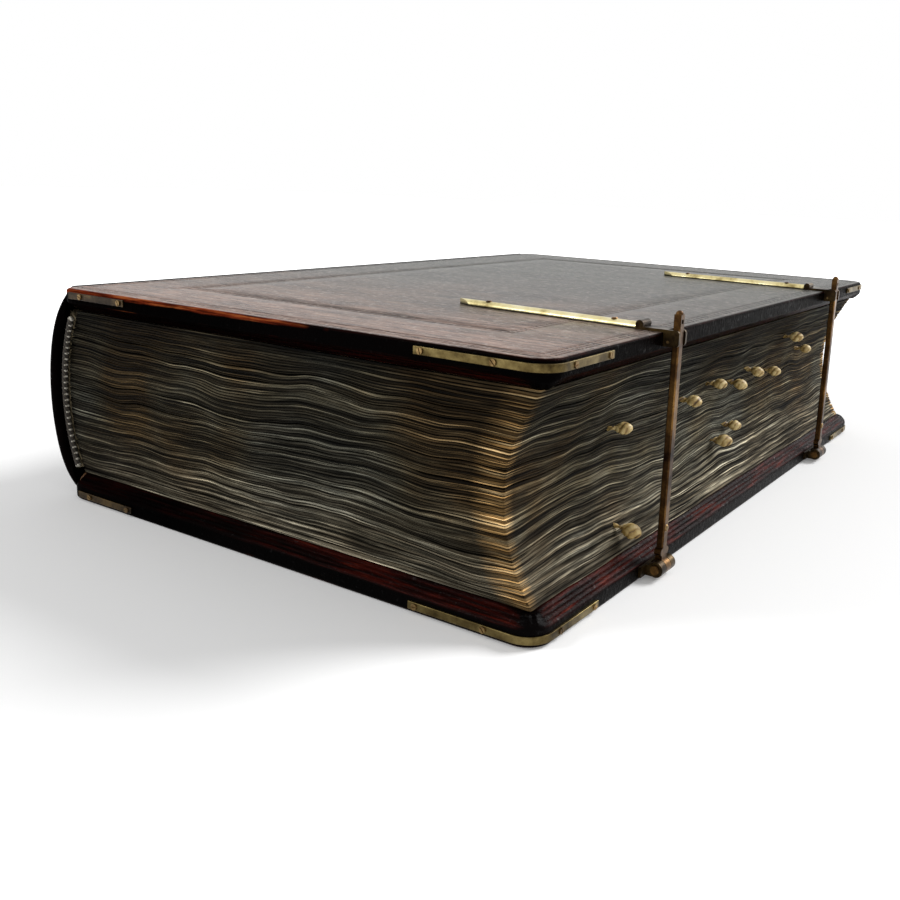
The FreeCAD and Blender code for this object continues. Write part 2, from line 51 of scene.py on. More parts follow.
def linear(code):
    # sRGB hex to linear
    values = [int(code[i:i + 2], 16) / 255.0 for i in (1, 3, 5)]
    return tuple(v / 12.92 if v <= 0.04045 else ((v + 0.055) / 1.055) ** 2.4 for v in values) + (1.0,)


def socketOf(sockets, key):
    if isinstance(key, int):
        return sockets[key]
    return next(socket for socket in sockets if socket.enabled and socket.name == key)


def fillSockets(tree, node, inputs):
    # inputs holds socket: value, output or node, and a node stands for its first output in use
    for key, value in inputs.items():
        if isinstance(value, bpy.types.Node):
            value = next(output for output in value.outputs if output.enabled)
        if isinstance(value, bpy.types.NodeSocket):
            tree.links.new(value, socketOf(node.inputs, key))
        else:
            socketOf(node.inputs, key).default_value = value


def addNode(tree, kind, inputs=None, stops=None, **settings):
    # stops are a colour ramp's places and hex colours
    node = tree.nodes.new(kind)
    for name, value in settings.items():
        setattr(node, name, value)
    if stops:
        ramp = node.color_ramp.elements
        while len(ramp) < len(stops):
            ramp.new(0.5)
        for element, (place, code) in zip(ramp, stops):
            element.position = place
            element.color = linear(code)
    fillSockets(tree, node, inputs or {})
    return node


def newMaterial(name):
    # gives back the material, its tree, its shader and the place on the piece that its patterns read
    material = bpy.data.materials.new(name)
    material.use_nodes = True
    tree = material.node_tree
    return material, tree, tree.nodes["Principled BSDF"], addNode(tree,
                                                                  "ShaderNodeTexCoord").outputs["Object"]


def drawnNoise(tree, spot, scale, detail, roughness=0.5, location=(0.0, 0.0, 0.0)):
    # noise drawn out along the axes, with about scale cells to the metre on each
    drawn = addNode(tree, "ShaderNodeMapping", {"Vector": spot, "Scale": scale, "Location": location})
    return addNode(tree, "ShaderNodeTexNoise",
                   {"Vector": drawn, "Scale": 1.0, "Detail": detail, "Roughness": roughness})


def newPiece(name, mesh, material, angle=35.0):
    mesh.shade_smooth()
    mesh.set_sharp_from_angle(angle=math.radians(angle))
    if not mesh.materials:
        mesh.materials.append(material)
    piece = bpy.data.objects.new(name, mesh)
    bpy.context.collection.objects.link(piece)
    return piece


def fitPiece(piece, body, slot, *replaced):
    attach(piece, body)
    if replaced:
        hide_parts(*replaced)


def rowFaces(rows, columns, closed):
    # quads between rows of points, each row closed into a ring or left open
    faces = []
    for row in range(rows - 1):
        low, high = row * columns, (row + 1) * columns
        for column in range(columns if closed else columns - 1):
            after = (column + 1) % columns
            faces.append((low + column, low + after, high + after, high + column))
    return faces


def closeMesh(mesh, fill=True):
    # fills what is open, unless a skin stays open inside, and makes the faces agree
    work = bmesh.new()
    work.from_mesh(mesh)
    if fill:
        bmesh.ops.remove_doubles(work, verts=work.verts, dist=1e-7)
        bmesh.ops.holes_fill(work, edges=work.edges, sides=0)
    bmesh.ops.recalc_face_normals(work, faces=work.faces)
    work.to_mesh(mesh)
    work.free()


def newTree(name, sizes):
    # a Geometry Nodes tree with one named input for each size
    tree = bpy.data.node_groups.new(name, "GeometryNodeTree")
    tree.interface.new_socket("Geometry", in_out="INPUT", socket_type="NodeSocketGeometry")
    for label, value in sizes.items():
        kind = "NodeSocketInt" if isinstance(value, int) else "NodeSocketFloat"
        tree.interface.new_socket(label, in_out="INPUT", socket_type=kind)
    tree.interface.new_socket("Geometry", in_out="OUTPUT", socket_type="NodeSocketGeometry")
    return tree, tree.nodes.new("NodeGroupInput").outputs


def endTree(tree, shape, material):
    real = addNode(tree, "GeometryNodeRealizeInstances", {"Geometry": shape})
    painted = addNode(tree, "GeometryNodeSetMaterial", {"Geometry": real, "Material": material})
    addNode(tree, "NodeGroupOutput", {"Geometry": painted})


def growMesh(base, tree, sizes):
    # runs the tree on a base mesh and gives back what it makes as a plain mesh
    holder = bpy.data.objects.new("holder", base)
    bpy.context.collection.objects.link(holder)
    modifier = holder.modifiers.new(tree.name, "NODES")
    modifier.node_group = tree
    for item in tree.interface.items_tree:
        if item.item_type == "SOCKET" and item.in_out == "INPUT" and item.name in sizes:
            modifier[item.identifier] = sizes[item.name]
    graph = bpy.context.evaluated_depsgraph_get()
    mesh = bpy.data.meshes.new_from_object(holder.evaluated_get(graph), preserve_all_data_layers=True,
                                           depsgraph=graph)
    holder.modifiers.remove(modifier)
    bpy.data.objects.remove(holder)
    return mesh


def lineMesh(points, closed=False):
    mesh = bpy.data.meshes.new("line")
    count = len(points)
    mesh.from_pydata(points, [(i, (i + 1) % count) for i in range(count if closed else count - 1)], [])
    return mesh


def storeFloats(mesh, name, values):
    mesh.attributes.new(name, "FLOAT", "POINT").data.foreach_set("value", values)


# materials

def wornCalf():
    # vegetable-tanned calf over boards: polished black where hands and shelves rub it, mahogany on the
    # bevels but kept darker as painted shade on the upper cover's downward bevels, dry brown and grey on
    # the face with the grey partly a painted sheen, orange-red where an edge is worn through
    material, tree, shader, spot = newMaterial("wornCalf")
    tone = addNode(tree, "ShaderNodeAttribute", attribute_name="tone").outputs["Fac"]
    rub = addNode(tree, "ShaderNodeAttribute", attribute_name="rub").outputs["Fac"]
    split = addNode(tree, "ShaderNodeSeparateXYZ", {"Vector": spot})
    cloud = addNode(tree, "ShaderNodeTexNoise",
                    {"Vector": spot, "Scale": 14.0, "Detail": 4.0, "Roughness": 0.6})
    # drag marks and cracks run along the width, 2 mm apart
    streak = drawnNoise(tree, spot, (45.0, 480.0, 300.0), 6.0, 0.7)
    # on the edges and bevels the wear lies in level lines, about 1 mm apart
    groovy = drawnNoise(tree, spot, (38.0, 38.0, 1000.0), 4.0, 0.65)
    # the half near the tail is brown and handled, the other half greyer, partly the leather's own grey and
    # partly a painted sheen
    greyedAndSheen = addNode(tree, "ShaderNodeMath", {0: cloud, 1: 0.16, 2: split.outputs["Y"]},
                     operation="MULTIPLY_ADD")
    greyedAndSheen = addNode(tree, "ShaderNodeMapRange", {"Value": greyedAndSheen, "From Min": -0.13, "From Max": 0.13})
    face = addNode(tree, "ShaderNodeValToRGB", {"Fac": greyedAndSheen},
                   stops=((0.0, "#9a8074"), (0.35, "#7c6b61"), (0.6, "#625e59"), (1.0, "#565853")))
    lines = addNode(tree, "ShaderNodeValToRGB", {"Fac": streak},
                    stops=((0.36, "#332c2b"), (0.48, "#a8a09c"), (0.58, "#ffffff")))
    # broad bands where the leather was wiped and has dried, about 15 mm apart
    broad = drawnNoise(tree, spot, (9.0, 65.0, 40.0), 5.0, 0.7)
    broad = addNode(tree, "ShaderNodeMapRange", {"Value": broad, "From Min": 0.35, "From Max": 0.65,
                                                 "To Min": 0.55, "To Max": 1.35})
    face = addNode(tree, "ShaderNodeMix", {"Factor": 1.0, "A": face, "B": broad},
                   data_type="RGBA", blend_type="MULTIPLY")
    faceLined = addNode(tree, "ShaderNodeMix", {"Factor": 0.9, "A": face, "B": lines},
                        data_type="RGBA", blend_type="MULTIPLY")
    # pale grains 2 to 4 mm long, partly dry flakes lifted off and partly painted highlights on the grain
    flaked = drawnNoise(tree, spot, (240.0, 620.0, 300.0), 3.0, 0.6)
    flakesAndHighlights = addNode(tree, "ShaderNodeMapRange",
                     {"Value": flaked, "From Min": 0.56, "From Max": 0.66, "To Max": 0.5})
    faceLined = addNode(tree, "ShaderNodeMix", {"Factor": flakesAndHighlights, "A": faceLined, "B": linear("#c4b8ae")},
                        data_type="RGBA")
    bevel = addNode(tree, "ShaderNodeValToRGB", {"Fac": groovy},
                    stops=((0.36, "#080302"), (0.5, "#1e0705"), (0.62, "#40110a"), (0.74, "#6a2a1c")))
    dark = addNode(tree, "ShaderNodeValToRGB", {"Fac": cloud},
                   stops=((0.35, "#010101"), (0.6, "#040202"), (0.75, "#0c0404")))
    toBevel = addNode(tree, "ShaderNodeMapRange", {"Value": tone, "From Min": 0.05, "From Max": 0.45})
    toFace = addNode(tree, "ShaderNodeMapRange", {"Value": tone, "From Min": 0.6, "From Max": 0.95})
    # the red shows on the lower cover's bevels, mostly towards the fore-edge, and is held back as painted
    # shade on the upper cover's bevels, which face down
    outer = addNode(tree, "ShaderNodeMapRange",
                    {"Value": split.outputs["X"], "From Min": -0.06, "From Max": 0.10,
                     "To Min": 0.12})
    # painted shade: higher up, on the upper cover's downward bevels, the red is cut to 0.3
    lower = addNode(tree, "ShaderNodeMapRange",
                    {"Value": split.outputs["Z"], "From Min": 0.02, "From Max": 0.08,
                     "To Min": 1.0, "To Max": 0.3})
    baredAndShaded = addNode(tree, "ShaderNodeMath", {0: outer, 1: lower}, operation="MULTIPLY")
    red = addNode(tree, "ShaderNodeMath", {0: baredAndShaded, 1: toBevel}, operation="MULTIPLY")
    low = addNode(tree, "ShaderNodeMix", {"Factor": red, "A": dark, "B": bevel}, data_type="RGBA")
    colour = addNode(tree, "ShaderNodeMix", {"Factor": toFace, "A": low, "B": faceLined}, data_type="RGBA")
    patchy = addNode(tree, "ShaderNodeTexNoise", {"Vector": spot, "Scale": 55.0, "Detail": 3.0})
    rubbed = addNode(tree, "ShaderNodeMath", {0: rub, 1: patchy}, operation="MULTIPLY")
    rubMask = addNode(tree, "ShaderNodeMapRange", {"Value": rubbed, "From Min": 0.26, "From Max": 0.5})
    raw = addNode(tree, "ShaderNodeValToRGB", {"Fac": groovy},
                  stops=((0.35, "#240a05"), (0.5, "#6e2812"), (0.65, "#b06434")))
    final = addNode(tree, "ShaderNodeMix", {"Factor": rubMask, "A": colour, "B": raw}, data_type="RGBA")
    gloss = addNode(tree, "ShaderNodeMapRange", {"Value": streak, "From Min": 0.35, "From Max": 0.65,
                                                 "To Min": 0.24, "To Max": 0.42})
    grain = addNode(tree, "ShaderNodeTexVoronoi", {"Vector": spot, "Scale": 1300.0})     # 0.8 mm pores
    pores = addNode(tree, "ShaderNodeMath", {0: grain.outputs["Distance"], 1: 0.35, 2: streak},
                    operation="MULTIPLY_ADD")
    pores = addNode(tree, "ShaderNodeMath", {0: flaked, 1: 1.2, 2: pores}, operation="MULTIPLY_ADD")
    bump = addNode(tree, "ShaderNodeBump", {"Height": pores, "Strength": 0.5, "Distance": 0.0004})
    # polish is left in specks on the dark edges, and over all of the face
    fleck = addNode(tree, "ShaderNodeTexNoise",
                    {"Vector": spot, "Scale": 420.0, "Detail": 3.0, "Roughness": 0.6})
    fleck = addNode(tree, "ShaderNodeMapRange", {"Value": fleck, "From Min": 0.62, "From Max": 0.78,
                                                 "To Min": 0.02, "To Max": 0.14})
    fleck = addNode(tree, "ShaderNodeMath", {0: fleck, 1: baredAndShaded}, operation="MULTIPLY")
    sheen = addNode(tree, "ShaderNodeMix", {"Factor": toFace, "A": fleck, "B": 0.09}, data_type="FLOAT")
    fillSockets(tree, shader, {"Base Color": final, "Roughness": gloss, "Normal": bump,
                               "Specular IOR Level": sheen})
    return material


def agedBrass(name, bright, dull, tarnish, rough, foot=-1.0):
    # cast and filed brass with old tarnish in patches, polished where it is touched, and painted black as
    # shade up to a millimetre above the height where its foot meets the leather
    material, tree, shader, spot = newMaterial(name)
    cloud = addNode(tree, "ShaderNodeTexNoise",
                    {"Vector": spot, "Scale": 75.0, "Detail": 7.0, "Roughness": 0.7})
    speck = addNode(tree, "ShaderNodeTexNoise", {"Vector": spot, "Scale": 900.0, "Detail": 2.0})
    colour = addNode(tree, "ShaderNodeValToRGB", {"Fac": cloud},
                     stops=((0.3, tarnish), (0.47, dull), (0.66, bright)))
    split = addNode(tree, "ShaderNodeSeparateXYZ", {"Vector": spot})
    # painted shade: from the given height up 1.2 mm the brass is mixed to near black
    outOfFootShade = addNode(tree, "ShaderNodeMapRange", {"Value": split.outputs["Z"], "From Min": foot,
                                                 "From Max": foot + 0.0012})
    final = addNode(tree, "ShaderNodeMix", {"Factor": outOfFootShade, "A": linear("#0c0906"), "B": colour},
                    data_type="RGBA")
    worn = addNode(tree, "ShaderNodeMapRange", {"Value": cloud, "From Min": 0.35, "From Max": 0.65,
                                                "To Min": rough + 0.2, "To Max": rough})
    bump = addNode(tree, "ShaderNodeBump", {"Height": speck, "Strength": 0.2, "Distance": 0.0001})
    fillSockets(tree, shader, {"Base Color": final, "Roughness": worn, "Normal": bump, "Metallic": 1.0})
    return material


# where the leaves' corners are thumbed tan, in metres round the outline: foreMiddle is from the middle of
# the back, and the others are from the middle of the fore-edge
thumbed = {"foreMiddle": 0.6411, "foreFrom": 0.186, "foreFull": 0.1955, "endFull": 0.200, "endFrom": 0.213}


def leafEdgePaper():
    # edges of rag paper leaves, soiled grey-brown, with painted light along each lip and painted shade in
    # the grooves, tan where corners are thumbed
    material, tree, shader, spot = newMaterial("leafEdgePaper")
    along = addNode(tree, "ShaderNodeAttribute", attribute_name="along").outputs["Fac"]
    level = addNode(tree, "ShaderNodeAttribute", attribute_name="leafLevel").outputs["Fac"]
    lip = addNode(tree, "ShaderNodeAttribute", attribute_name="lip").outputs["Fac"]
    strips = addNode(tree, "ShaderNodeCombineXYZ", {"X": along, "Y": level})
    # single leaves about 0.25 mm thick, drawn near 0.5 mm so that they show
    fineNoise = drawnNoise(tree, strips, (22.0, 150.0, 1.0), 4.0, 0.75)
    # each leaf has a tone of its own that changes slowly along it, with a hard line to the next leaf
    leafNumber = addNode(tree, "ShaderNodeMath", {0: level, 1: 190.0}, operation="MULTIPLY")
    leafNumber = addNode(tree, "ShaderNodeMath", {0: leafNumber}, operation="FLOOR")
    leafApart = addNode(tree, "ShaderNodeMath", {0: leafNumber, 1: 7.31}, operation="MULTIPLY")
    leafAlong = addNode(tree, "ShaderNodeMath", {0: along, 1: 15.0}, operation="MULTIPLY")
    leafAt = addNode(tree, "ShaderNodeCombineXYZ", {"X": leafAlong, "Y": leafApart})
    leafTone = addNode(tree, "ShaderNodeTexNoise", {"Vector": leafAt, "Scale": 1.0, "Detail": 4.0,
                                                    "Roughness": 0.6})
    wideNoise = drawnNoise(tree, strips, (7.0, 46.0, 1.0), 4.0, 0.65, location=(3.0, 5.0, 0.0))
    cloud = addNode(tree, "ShaderNodeTexNoise", {"Vector": spot, "Scale": 16.0, "Detail": 3.0})
    dirt = addNode(tree, "ShaderNodeValToRGB", {"Fac": wideNoise},
                   stops=((0.34, "#201d17"), (0.46, "#47423a"), (0.55, "#6d695f"), (0.66, "#aca89c")))
    cast = addNode(tree, "ShaderNodeValToRGB", {"Fac": cloud},
                   stops=((0.38, "#a8906e"), (0.5, "#b4ae9c"), (0.62, "#c2c5c0")))
    # the lowest gatherings have stayed cream
    cleaner = addNode(tree, "ShaderNodeMapRange",
                      {"Value": level, "From Min": 0.34, "From Max": 0.04, "To Max": 0.75})
    cast = addNode(tree, "ShaderNodeMix", {"Factor": cleaner, "A": cast, "B": linear("#efe9dc")},
                   data_type="RGBA")
    base = addNode(tree, "ShaderNodeMix", {"Factor": 1.0, "A": dirt, "B": cast},
                   data_type="RGBA", blend_type="MULTIPLY")
    # the tan fades out from each corner, both along the fore-edge and along the end
    fromMiddle = addNode(tree, "ShaderNodeMath", {0: along, 1: thumbed["foreMiddle"]}, operation="SUBTRACT")
    fromMiddle = addNode(tree, "ShaderNodeMath", {0: fromMiddle}, operation="ABSOLUTE")
    foreSide = addNode(tree, "ShaderNodeMapRange", {"Value": fromMiddle, "From Min": thumbed["foreFrom"],
                                                    "From Max": thumbed["foreFull"]})
    endSide = addNode(tree, "ShaderNodeMapRange", {"Value": fromMiddle, "From Min": thumbed["endFrom"],
                                                   "From Max": thumbed["endFull"]})
    corner = addNode(tree, "ShaderNodeMath", {0: foreSide, 1: endSide}, operation="MULTIPLY")
    corner = addNode(tree, "ShaderNodeMath", {0: corner, 1: leafTone}, operation="MULTIPLY")
    tan = addNode(tree, "ShaderNodeMapRange", {"Value": corner, "From Min": 0.16, "From Max": 0.7})
    tanTone = addNode(tree, "ShaderNodeValToRGB", {"Fac": wideNoise},
                      stops=((0.36, "#4a361d"), (0.5, "#8a6b40"), (0.66, "#cdb182")))
    tanned = addNode(tree, "ShaderNodeMix", {"Factor": tan, "A": base, "B": tanTone}, data_type="RGBA")
    shade = addNode(tree, "ShaderNodeMapRange", {"Value": leafTone, "From Min": 0.33, "From Max": 0.68})
    shade = addNode(tree, "ShaderNodeMath", {0: shade, 1: 2.4}, operation="POWER")
    shade = addNode(tree, "ShaderNodeMath", {0: shade, 1: 3.4, 2: 0.07}, operation="MULTIPLY_ADD")
    # painted shade: the grooves between leaf steps are darkened to 0.12, the lips left light
    paintedGrooveShade = addNode(tree, "ShaderNodeMapRange", {"Value": lip, "To Min": 0.12, "To Max": 1.0})
    # darker towards the top of the block and paler towards the bottom: partly dirt and partly painted shade
    # under the upper cover
    topDirtAndShade = addNode(tree, "ShaderNodeMapRange", {"Value": level, "From Min": 0.15, "From Max": 0.95,
                                                   "To Min": 1.7, "To Max": 0.6})
    both = addNode(tree, "ShaderNodeMath", {0: shade, 1: paintedGrooveShade}, operation="MULTIPLY")
    both = addNode(tree, "ShaderNodeMath", {0: both, 1: topDirtAndShade}, operation="MULTIPLY")
    # darker towards the spine
    split = addNode(tree, "ShaderNodeSeparateXYZ", {"Vector": spot})
    darkerToSpine = addNode(tree, "ShaderNodeMapRange",
                   {"Value": split.outputs["X"], "From Min": -0.135, "From Max": -0.02,
                    "To Min": 0.4})
    both = addNode(tree, "ShaderNodeMath", {0: both, 1: darkerToSpine}, operation="MULTIPLY")
    final = addNode(tree, "ShaderNodeMix", {"Factor": 1.0, "A": tanned, "B": both},
                    data_type="RGBA", blend_type="MULTIPLY")
    bump = addNode(tree, "ShaderNodeBump", {"Height": fineNoise, "Strength": 0.8, "Distance": 0.0005})
    fillSockets(tree, shader, {"Base Color": final, "Normal": bump, "Roughness": 0.75,
                               "Specular IOR Level": 0.05})
    return material


def ragPaper(name, light, dark):
    # handmade rag paper, foxed and browned, with a faint felt texture
    material, tree, shader, spot = newMaterial(name)
    cloud = addNode(tree, "ShaderNodeTexNoise",
                    {"Vector": spot, "Scale": 22.0, "Detail": 5.0, "Roughness": 0.6})
    felt = addNode(tree, "ShaderNodeTexNoise", {"Vector": spot, "Scale": 800.0, "Detail": 2.0})
    colour = addNode(tree, "ShaderNodeValToRGB", {"Fac": cloud}, stops=((0.34, dark), (0.6, light)))
    bump = addNode(tree, "ShaderNodeBump", {"Height": felt, "Strength": 0.25, "Distance": 0.0002})
    fillSockets(tree, shader, {"Base Color": colour, "Normal": bump, "Roughness": 0.85})
    return material


def twisted(name, light, dark, pitch):
    # spun linen or hemp: strands wound round a core, painted pale on top and dark between the turns as
    # light and shade
    material, tree, shader, spot = newMaterial(name)
    turns = addNode(tree, "ShaderNodeTexWave",
                    {"Vector": spot, "Scale": 1.0 / pitch / 3.0, "Distortion": 1.5,
                     "Detail": 2.0}, bands_direction="DIAGONAL")
    fuzz = addNode(tree, "ShaderNodeTexNoise", {"Vector": spot, "Scale": 900.0, "Detail": 3.0})
    # painted light and shade: the tops of the turns pale, the hollows between them dark
    colour = addNode(tree, "ShaderNodeValToRGB", {"Fac": turns}, stops=((0.2, dark), (0.7, light)))
    height = addNode(tree, "ShaderNodeMath", {0: turns, 1: fuzz}, operation="ADD")
    bump = addNode(tree, "ShaderNodeBump", {"Height": height, "Strength": 0.5, "Distance": 0.0003})
    fillSockets(tree, shader, {"Base Color": colour, "Normal": bump, "Roughness": 0.8})
    return material


def oldOak():
    # quarter-sawn oak, browned, with its grain along the book
    material, tree, shader, spot = newMaterial("oldOak")
    grain = drawnNoise(tree, spot, (400.0, 12.0, 400.0), 5.0)
    colour = addNode(tree, "ShaderNodeValToRGB", {"Fac": grain},
                     stops=((0.35, "#2e1d10"), (0.62, "#6d4a2b")))
    bump = addNode(tree, "ShaderNodeBump", {"Height": grain, "Strength": 0.3, "Distance": 0.0003})
    fillSockets(tree, shader, {"Base Color": colour, "Normal": bump, "Roughness": 0.7})
    return material


def parchment():
    # alum-tawed parchment, creamy yellow, with painted shade in its folds
    material, tree, shader, spot = newMaterial("parchment")
    fold = addNode(tree, "ShaderNodeAttribute", attribute_name="fold").outputs["Fac"]
    cloud = addNode(tree, "ShaderNodeTexNoise", {"Vector": spot, "Scale": 260.0, "Detail": 4.0})
    # the fold marks darken the colour as painted shade
    mixed = addNode(tree, "ShaderNodeMath", {0: cloud, 1: fold}, operation="SUBTRACT")
    colour = addNode(tree, "ShaderNodeValToRGB", {"Fac": mixed},
                     stops=((0.1, "#5c4420"), (0.35, "#a98a4c"), (0.6, "#dcc58a")))
    bump = addNode(tree, "ShaderNodeBump", {"Height": cloud, "Strength": 0.4, "Distance": 0.0003})
    fillSockets(tree, shader, {"Base Color": colour, "Normal": bump, "Roughness": 0.5})
    return material


calf = wornCalf()
edgePaper = leafEdgePaper()
pagePaper = ragPaper("ragPaper", "#b7a888", "#97855f")
pastePaper = ragPaper("pastedownPaper", "#9a8a68", "#7c6a49")
stripBrass = agedBrass("tarnishedBrass", "#82734a", "#574a2c", "#21180b", 0.3)
# browned brass, partly tarnish and partly darkened as a painted reflection of dark surroundings
claspBrassDarkReflection = agedBrass("brownedBrassDarkReflection", "#7d5c31", "#45301b", "#190e08", 0.26)
# the darkest copy of the brass, for spine strips, hinge and catch: partly tarnish and partly painted shade,
# as the hinge and catch sit in shade
darkAndShadedBrass = agedBrass("blackenedAndShadedBrass", "#5c4a2c", "#2c2216", "#0c0805", 0.3)
nailBrass = agedBrass("wornBrass", "#a88f62", "#6e5838", "#2c1f12", 0.3)
# the straps are painted black as shade along their lowest millimetre, next to the cover
strapBrass = agedBrass("polishedBrass", "#efe6bc", "#d8ca94", "#8a7848", 0.24,
                       foot=book["thickness"] + 0.0003)
linenThread = twisted("greyLinenThread", "#cfcabd", "#8c8678", 0.0012)
darkThread = twisted("soiledLinenCore", "#3a3228", "#15110c", 0.0012)
hempCord = twisted("hempCord", "#8f7c58", "#4b3d26", 0.003)
liningCloth = twisted("liningLinen", "#8d8064", "#584c36", 0.0015)
oak = oldOak()
vellum = parchment()
print("materials made:", len(bpy.data.materials))


# leaves: one block whose edges are swept round the outline by Geometry Nodes, in steps about 1 mm high that
# each stand for a few leaves

leafSizes = {
    "leafSteps": 72, "bottom": book["blockBottom"], "top": book["blockTop"],
    "backEdge": book["backEdge"], "backBulge": book["backBulge"],
    "foreEdge": book["foreEdge"], "foreHollow": book["foreHollow"], "railWidth": 0.25,
    "cockleHeight": 0.0120, "cockleLength": 0.056, "rippleHeight": 0.0013, "rippleLength": 0.024,
    "stagger": 0.0014, "grooveDepth": 0.0015, "seed": 4.0,
}


def leafRail():
    # outline of the leaves from the middle of the back, round the near end, fore-edge and far end
    end, width, bend = book["blockEnd"], leafSizes["railWidth"], 0.0012
    backSteps, endSteps, bendSteps, foreSteps = 6, 95, 4, 150
    points = []
    for i in range(backSteps):
        points.append((0.0, -end * i / backSteps, 0.0, -1.0, 0.0))
    for i in range(endSteps):
        points.append(((width - bend) * i / endSteps, -end, 0.0, 0.0, -1.0))
    for i in range(bendSteps + 1):
        turn = math.radians(-90.0 + 90.0 / bendSteps * i)
        points.append((width - bend + bend * math.cos(turn), -end + bend + bend * math.sin(turn), 0.0,
                       math.cos(turn), math.sin(turn)))
    nearSide = points[1:]
    for i in range(1, foreSteps):
        points.append((width, -end + bend + 2.0 * (end - bend) * i / foreSteps, 0.0, 1.0, 0.0))
    points += [(x, -y, z, nx, -ny) for x, y, z, nx, ny in reversed(nearSide)]
    mesh = lineMesh([p[:3] for p in points], closed=True)
    lengths = [0.0]
    for before, after in zip(points, points[1:]):
        lengths.append(lengths[-1] + math.dist(before[:2], after[:2]))
    storeFloats(mesh, "along", lengths)
    outward = mesh.attributes.new("outward", "FLOAT_VECTOR", "POINT")
    outward.data.foreach_set("vector", [value for p in points for value in (p[3], p[4], 0.0)])
    return mesh


def unevenness(tree, given, along, length, across, spread, detail, middle):
    # noise that changes over length round the outline, and from one level or layer to the next
    x = addNode(tree, "ShaderNodeMath", {0: along, 1: length}, operation="DIVIDE")
    y = addNode(tree, "ShaderNodeMath", {0: across, 1: spread}, operation="MULTIPLY")
    place = addNode(tree, "ShaderNodeCombineXYZ", {"X": x, "Y": y, "Z": given["seed"]})
    wave = addNode(tree, "ShaderNodeTexNoise", {"Vector": place, "Scale": 1.0, "Detail": detail})
    return addNode(tree, "ShaderNodeMath", {0: wave, 1: middle}, operation="SUBTRACT")


